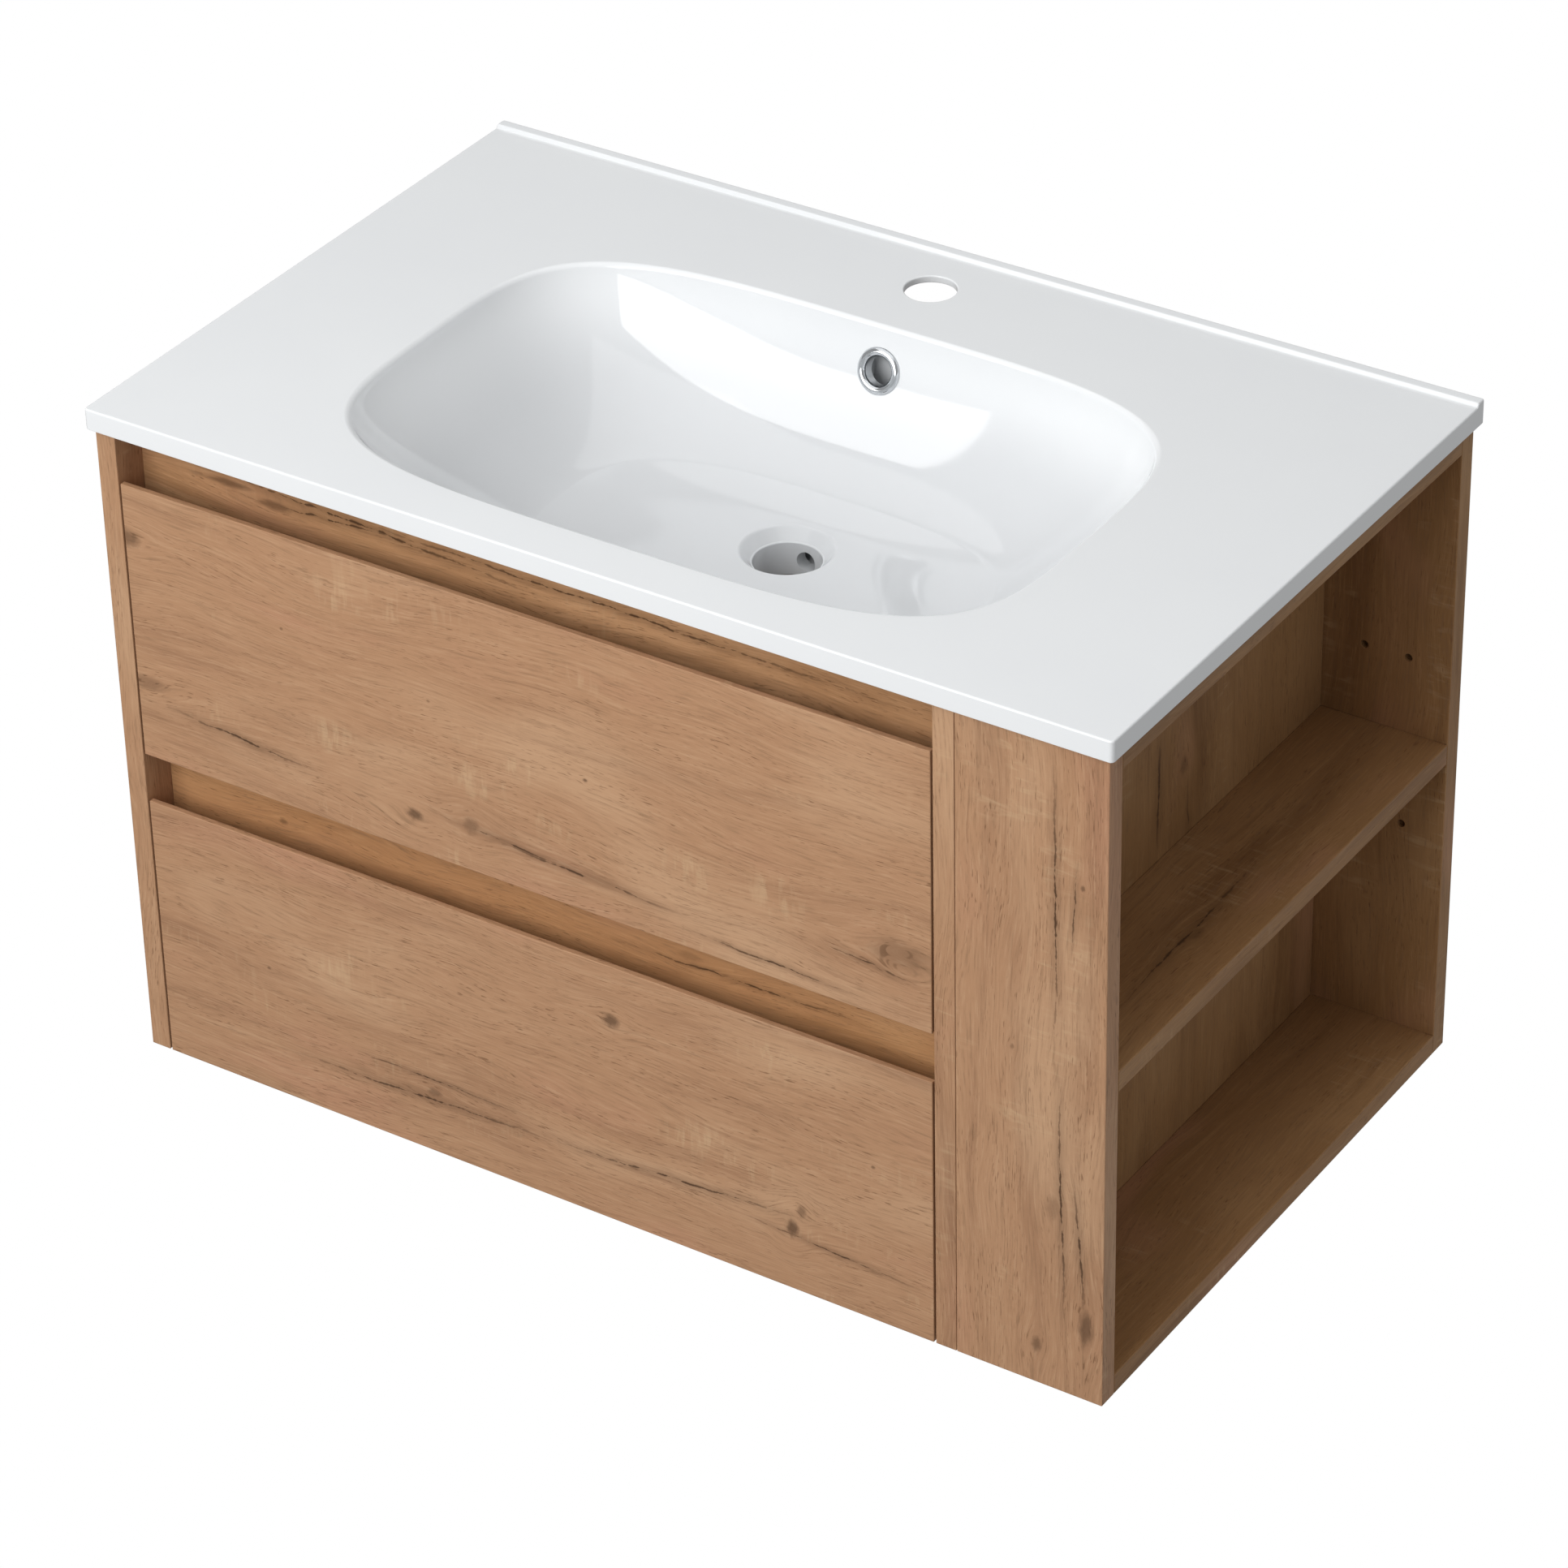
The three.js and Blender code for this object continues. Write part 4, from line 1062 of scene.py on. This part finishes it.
# The shelf's other boards share the deeper print, a painted shade.
shelf_painted_shade_oak = oak_paper("oak_paper_shelf", shelf_painted_shade_tones, 89.0)
for node in ("shelf_rear_panel", "shelf_top", "shelf_bottom"):
    finishes[node] = shelf_painted_shade_oak
plain_oak = oak_paper("oak_paper", oak_tones, 83.0)
box_paper = oak_paper("drawer_box_paper", box_tones, 97.0, loose_knots=False, calm=0.5)
for node, board in boards.items():
    shared = plain_oak if slot_of[node] == "oak_decor" else box_paper
    board.data.materials.append(finishes.get(node, shared))
print("paper finishes", len(set(finishes.values())) + 2)

# %% [markdown]
# ## Gel coat, chrome and zinc
#
# Gel coat is a sprayed polyester skin, white and glass smooth: it reflects like any resin (IOR about 1.55)
# and needs a very low roughness, with a broad, barely visible waviness that a mould leaves. The real coat is
# one white throughout. Here its tone goes a little towards grey down in the bowl: a painted shade for the
# hollow, because under these lights white walls that face each other come out too bright. Chrome plate on
# the ring is a nearly perfect mirror with a slightly blue grey. The runners and angles are bright zinc
# plate, duller and faintly mottled, rolled along their length.

# %% Make the three hard finishes
def bare_material(name):
    made = bpy.data.materials.new(name)
    made.use_nodes = True
    made.node_tree.nodes.clear()
    return made, made.node_tree, add(made.node_tree, "ShaderNodeTexCoord").outputs["Object"]


def grainy(tree, place, scale, detail):
    return add(tree, "ShaderNodeTexNoise", None,
               {"Vector": place, "Scale": scale, "Detail": detail}).outputs[0]


gel_coat, tree, place = bare_material("gel_coat_white")
tone = blended(tree, grainy(tree, place, 9.0, 2.0), linear("#e6e8ea"), linear("#ebedee"))
height = add(tree, "ShaderNodeSeparateXYZ", None, {0: place}).outputs[2]
# Painted shade: the coat turns greyer with depth below the deck, most of all down in the bowl, standing in
# for the shade in its hollow.
tone = blended(tree, share_of(tree, height, 44 * MM, -5 * MM), tone, linear("#dbdddf"))
wave = add(tree, "ShaderNodeBump", None,
           {"Height": grainy(tree, place, 22.0, 1.0), "Strength": 0.05, "Distance": 0.4 * MM})
shader = add(tree, "ShaderNodeBsdfPrincipled", None, {
    "Base Color": tone, "Roughness": 0.06, "IOR": 1.55, "Normal": wave.outputs[0]})
add(tree, "ShaderNodeOutputMaterial", None, {"Surface": shader.outputs[0]})

chrome, tree, place = bare_material("chrome_plate")
polish = add(tree, "ShaderNodeMapRange", None, {0: grainy(tree, place, 260.0, 2.0), 3: 0.03, 4: 0.09})
shader = add(tree, "ShaderNodeBsdfPrincipled", None, {
    "Base Color": linear("#d6d9dc"), "Metallic": 1.0, "Roughness": polish.outputs[0]})
add(tree, "ShaderNodeOutputMaterial", None, {"Surface": shader.outputs[0]})

zinc, tree, place = bare_material("bright_zinc_plate")
rolled = add(tree, "ShaderNodeMapping", None, {"Vector": place, "Scale": (900.0, 12.0, 900.0)})
steel = blended(tree, grainy(tree, place, 70.0, 3.0), linear("#a3a7aa"), linear("#c3c6c6"))
lines = grainy(tree, rolled.outputs[0], 1.0, 2.0)
dull = add(tree, "ShaderNodeMapRange", None, {0: lines, 3: 0.24, 4: 0.42})
shader = add(tree, "ShaderNodeBsdfPrincipled", None, {
    "Base Color": steel, "Metallic": 1.0, "Roughness": dull.outputs[0]})
add(tree, "ShaderNodeOutputMaterial", None, {"Surface": shader.outputs[0]})
basin.data.materials.clear()
basin.data.materials.append(gel_coat)
duct.data.materials.clear()
duct.data.materials.append(gel_coat)
ring.data.materials.append(chrome)
print("hard finishes", gel_coat.name, chrome.name, zinc.name)

# %% [markdown]
# ## Drawer runners
#
# Each runner is three channels, cold rolled from steel strip, so no fold is sharp. A channel is one cross-
# section pulled along its length: the web, two folds and two flanges. The section is drawn here from the
# solid's own box, with true inner and outer fold radii, and the ends get no rounding because they are
# sheared.

# %% Roll the runner channels
sheet = 1.2 * MM
fold_radius = 1.8 * MM


def fold(x, z, radius, start, steps=7):
    return [(x + radius * math.cos(start + t), z + radius * math.sin(start + t))
            for t in np.linspace(0, math.pi / 2, steps)]


def channel_section(width, height):
    """Outline of a U open to +X, from (0, -height/2), with folds at its web."""
    half, inner = height / 2, fold_radius - sheet
    outer_path = [(width, half)] + fold(fold_radius, half - fold_radius, fold_radius, math.pi / 2)
    outer_path += fold(fold_radius, -half + fold_radius, fold_radius, math.pi) + [(width, -half)]
    inner_path = [(width, -half + sheet)]
    inner_path += reversed(fold(fold_radius, -half + fold_radius, inner, math.pi))
    inner_path += reversed(fold(fold_radius, half - fold_radius, inner, math.pi / 2))
    return outer_path + inner_path + [(width, half - sheet)]


def channel(node):
    low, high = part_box(node)
    left_hand = "left" in node
    opens_right = left_hand != node.endswith("drawer_member")
    section = channel_section(high.x - low.x, high.z - low.z)
    middle = (low.z + high.z) / 2
    start, way = (low.x, 1) if opens_right else (high.x, -1)
    points = [(start + way * x, y, middle + z) for y in (low.y, high.y) for x, z in section]
    count = len(section)
    faces = [tuple(range(count)), tuple(range(2 * count - 1, count - 1, -1))]
    made = piece_from(node + "_channel", points, faces + bridged(2, count))
    made.data.materials.append(zinc)
    return smooth(made, 40)


channels = {node: channel(node) for node in frame["nodes"] if "runner" in node}
print("channels", len(channels), "each", len(next(iter(channels.values())).data.polygons), "faces")

# %% [markdown]
# ## Balls and screws
#
# A runner is full of small steel balls in rows, and screws hold it to the cabinet and the drawer. Both
# repeat, so a geometry-nodes tree makes them: one set of start points, one length and one count give a row,
# and the same small shape is put on each point. The tree has named inputs for its sizes. The instances are
# made real and then fixed as a plain mesh, one for each set of rows, which rides its body.

# %% A tree that lays a shape along rows
def row_tree(shape, material):
    tree = bpy.data.node_groups.new("rows_of_" + shape.name, "GeometryNodeTree")
    for socket, kind in (("Starts", "NodeSocketGeometry"), ("Count", "NodeSocketInt"),
                         ("Spacing", "NodeSocketFloat")):
        tree.interface.new_socket(socket, in_out="INPUT", socket_type=kind)
    tree.interface.new_socket("Pieces", in_out="OUTPUT", socket_type="NodeSocketGeometry")
    given = tree.nodes.new("NodeGroupInput")
    made = tree.nodes.new("NodeGroupOutput")
    reach = add(tree, "ShaderNodeCombineXYZ", None, {1: given.outputs["Spacing"]})
    line = add(tree, "GeometryNodeMeshLine", None,
               {"Count": given.outputs["Count"], "Offset": reach.outputs[0]})
    rows = add(tree, "GeometryNodeInstanceOnPoints", None,
               {"Points": given.outputs["Starts"], "Instance": line.outputs[0]})
    real_rows = add(tree, "GeometryNodeRealizeInstances", None, {0: rows.outputs[0]})
    source = add(tree, "GeometryNodeObjectInfo", {"transform_space": "ORIGINAL"}, {"Object": shape})
    facing = add(tree, "GeometryNodeInputNamedAttribute", {"data_type": "FLOAT_VECTOR"}, {"Name": "facing"})
    turn = add(tree, "FunctionNodeAlignRotationToVector", {"axis": "Z"}, {"Vector": facing.outputs[0]})
    placed = add(tree, "GeometryNodeInstanceOnPoints", None, {
        "Points": real_rows.outputs[0], "Instance": source.outputs["Geometry"], "Rotation": turn.outputs[0]})
    real = add(tree, "GeometryNodeRealizeInstances", None, {0: placed.outputs[0]})
    finish = add(tree, "GeometryNodeSetMaterial", None, {"Geometry": real.outputs[0], "Material": material})
    tree.links.new(finish.outputs[0], made.inputs[0])
    return tree


def lay_rows(name, tree, starts, count, spacing):
    """starts is a list of (place, facing). The row runs from each start towards +Y."""
    mesh = bpy.data.meshes.new(name)
    mesh.from_pydata([tuple(place) for place, facing in starts], [], [])
    ways = mesh.attributes.new("facing", "FLOAT_VECTOR", "POINT")
    ways.data.foreach_set("vector", [c for place, facing in starts for c in facing])
    made = bpy.data.objects.new(name, mesh)
    scene.collection.objects.link(made)
    step = made.modifiers.new("rows", "NODES")
    step.node_group = tree
    sockets = {item.name: item.identifier for item in tree.interface.items_tree if item.in_out == "INPUT"}
    step[sockets["Count"]] = count
    step[sockets["Spacing"]] = spacing
    return baked(made)


print("row tree inputs: Starts, Count, Spacing")

# %% The runner balls
ball_radius = 0.95 * MM
ball_mesh = bpy.data.meshes.new("ball")
work = bmesh.new()
bmesh.ops.create_icosphere(work, subdivisions=2, radius=ball_radius)
for face in work.faces:
    face.smooth = True
work.to_mesh(ball_mesh)
work.free()
ball = bpy.data.objects.new("ball", ball_mesh)
ball_tree = row_tree(ball, zinc)
balls = []
ball_count = 24
ball_seat = 1.0 * MM
row_start = 8 * MM
row_margin = 24 * MM
for node in [n for n in channels if n.endswith("runner_middle")]:
    low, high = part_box(node)
    middle_x = (low.x + high.x) / 2
    half = (high.y - low.y) / 2
    spacing = (half - row_margin) / (ball_count - 1)
    # The outer rows stay in the rear half and the inner rows in the front half, where both channels overlap
    # however far the drawer is out.
    outer_y, inner_y = low.y + half + row_start, low.y + row_start
    starts = [(outer_y, high.z + ball_seat), (outer_y, low.z - ball_seat),
              (inner_y, high.z - sheet - ball_seat), (inner_y, low.z + sheet + ball_seat)]
    starts = [((middle_x, y, z), (0, 0, 1)) for y, z in starts]
    rows = lay_rows(node.replace("middle", "balls"), ball_tree, starts, ball_count, spacing)
    balls.append((rows, node))
print("ball rows", len(balls), "with", sum(len(b.data.polygons) for b, n in balls), "faces")

# %% The screws
def screw_head():
    """A pan head with a cross recess, its seat at the origin and its axis along +Z."""
    radius, height, count = 3.4 * MM, 1.0 * MM, 32
    profile = [(0, 0), (0, radius)] + [(height * math.sin(t), radius * (0.55 + 0.45 * math.cos(t)))
                                        for t in np.linspace(0.2, math.pi / 2, 7)] + [(height, 0)]
    head = piece_from("screw_head", *turned(profile, count, (0, 0, 0), (0, 0, 1)))
    slots = []
    for name, half_x, half_y in (("slot_a", 1.7 * MM, 0.4 * MM), ("slot_b", 0.4 * MM, 1.7 * MM)):
        corners = [(x, y, z) for z in (0.45 * MM, 2 * MM)
                   for x, y in ((-half_x, -half_y), (half_x, -half_y), (half_x, half_y), (-half_x, half_y))]
        slots.append(piece_from(name, corners, [(0, 3, 2, 1), (4, 5, 6, 7), (0, 1, 5, 4), (1, 2, 6, 5),
                                                (2, 3, 7, 6), (3, 0, 4, 7)]))
    boolean(head, "DIFFERENCE", *slots)
    smooth(head, 35)
    scene.collection.objects.unlink(head)
    return head


screw_tree = row_tree(screw_head(), zinc)
body_of_node = {n: b for b, members in frame["record"]["behaviour"]["bodies"].items() for n in members}
screws = []
first_screw = 37 * MM
screw_pitch = 128 * MM
for node in [n for n in channels if not n.endswith("runner_middle")]:
    low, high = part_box(node)
    on_left = "left" in node
    inner_face = node.endswith("drawer_member")
    towards = (1 if on_left else -1) * (-1 if inner_face else 1)
    web = low.x + sheet if towards > 0 else high.x - sheet
    if not inner_face:
        # Only the heads' crowns fit between the webs, so these sit deeper.
        web -= towards * 0.25 * MM
    start = ((web, low.y + first_screw, (low.z + high.z) / 2), (towards, 0, 0))
    screws.append((lay_rows(node + "_screws", screw_tree, [start], 3, screw_pitch), body_of_node[node]))
for node in ("left_wall_bracket", "right_wall_bracket"):
    low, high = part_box(node)
    on_left = node.startswith("left")
    face_x = low.x + 2 * MM if on_left else high.x - 2 * MM
    places = [((face_x, high.y - 30 * MM, z), (1 if on_left else -1, 0, 0))
              for z in (low.z + 12 * MM, high.z - 12 * MM)]
    screws.append((lay_rows(node + "_screws", screw_tree, places, 2, 16 * MM), "cabinet"))
print("screw sets", len(screws))

# %% [markdown]
# ## Wall angles and shelf pins
#
# The angles that hang the cabinet are bent from 2 mm strip and are copied from their solids with broken
# edges. The four shelf pins are turned, with a small chamfer at each end.

# %% Angles and pins
hardware = {}
for node in ("left_wall_bracket", "right_wall_bracket"):
    angle = board_from(node, node + "_angle", 0.5 * MM, 3)
    angle.data.materials.append(zinc)
    hardware[node] = angle
pin_chamfer = 0.5 * MM
for node in [n for n in frame["nodes"] if n.startswith("shelf_pin")]:
    low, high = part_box(node)
    radius = (high.x - low.x) / 2
    length = high.y - low.y
    profile = [(0, 0), (0, radius - pin_chamfer), (pin_chamfer, radius), (length - pin_chamfer, radius),
               (length, radius - pin_chamfer), (length, 0)]
    centre = ((low.x + high.x) / 2, low.y, (low.z + high.z) / 2)
    pin = piece_from(node + "_turned", *turned(profile, 32, centre, (0, 1, 0)))
    pin.data.materials.append(zinc)
    hardware[node] = smooth(pin, 30)
print("angles and pins", len(hardware))

# %% [markdown]
# ## Put every piece on its body
#
# A drawer takes its front, box and inner channels with it, and the middle channels travel half as far. Each
# piece rides the body that the solid model gives its node and hides the solid it stands for.

# %% Ride and replace
standing_for = {**boards, **channels, **hardware, "basin_top": basin, "overflow_ring": ring}
for node, piece in standing_for.items():
    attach(piece, body_of_node[node])
    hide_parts(node)
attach(duct, body_of_node["basin_top"])
for rows, node in balls:
    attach(rows, body_of_node[node])
for rows, body in screws:
    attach(rows, body)
missing = sorted(set(frame["nodes"]) - set(standing_for))
print("pieces", len(standing_for) + 1 + len(balls) + len(screws), "solids still shown", missing)
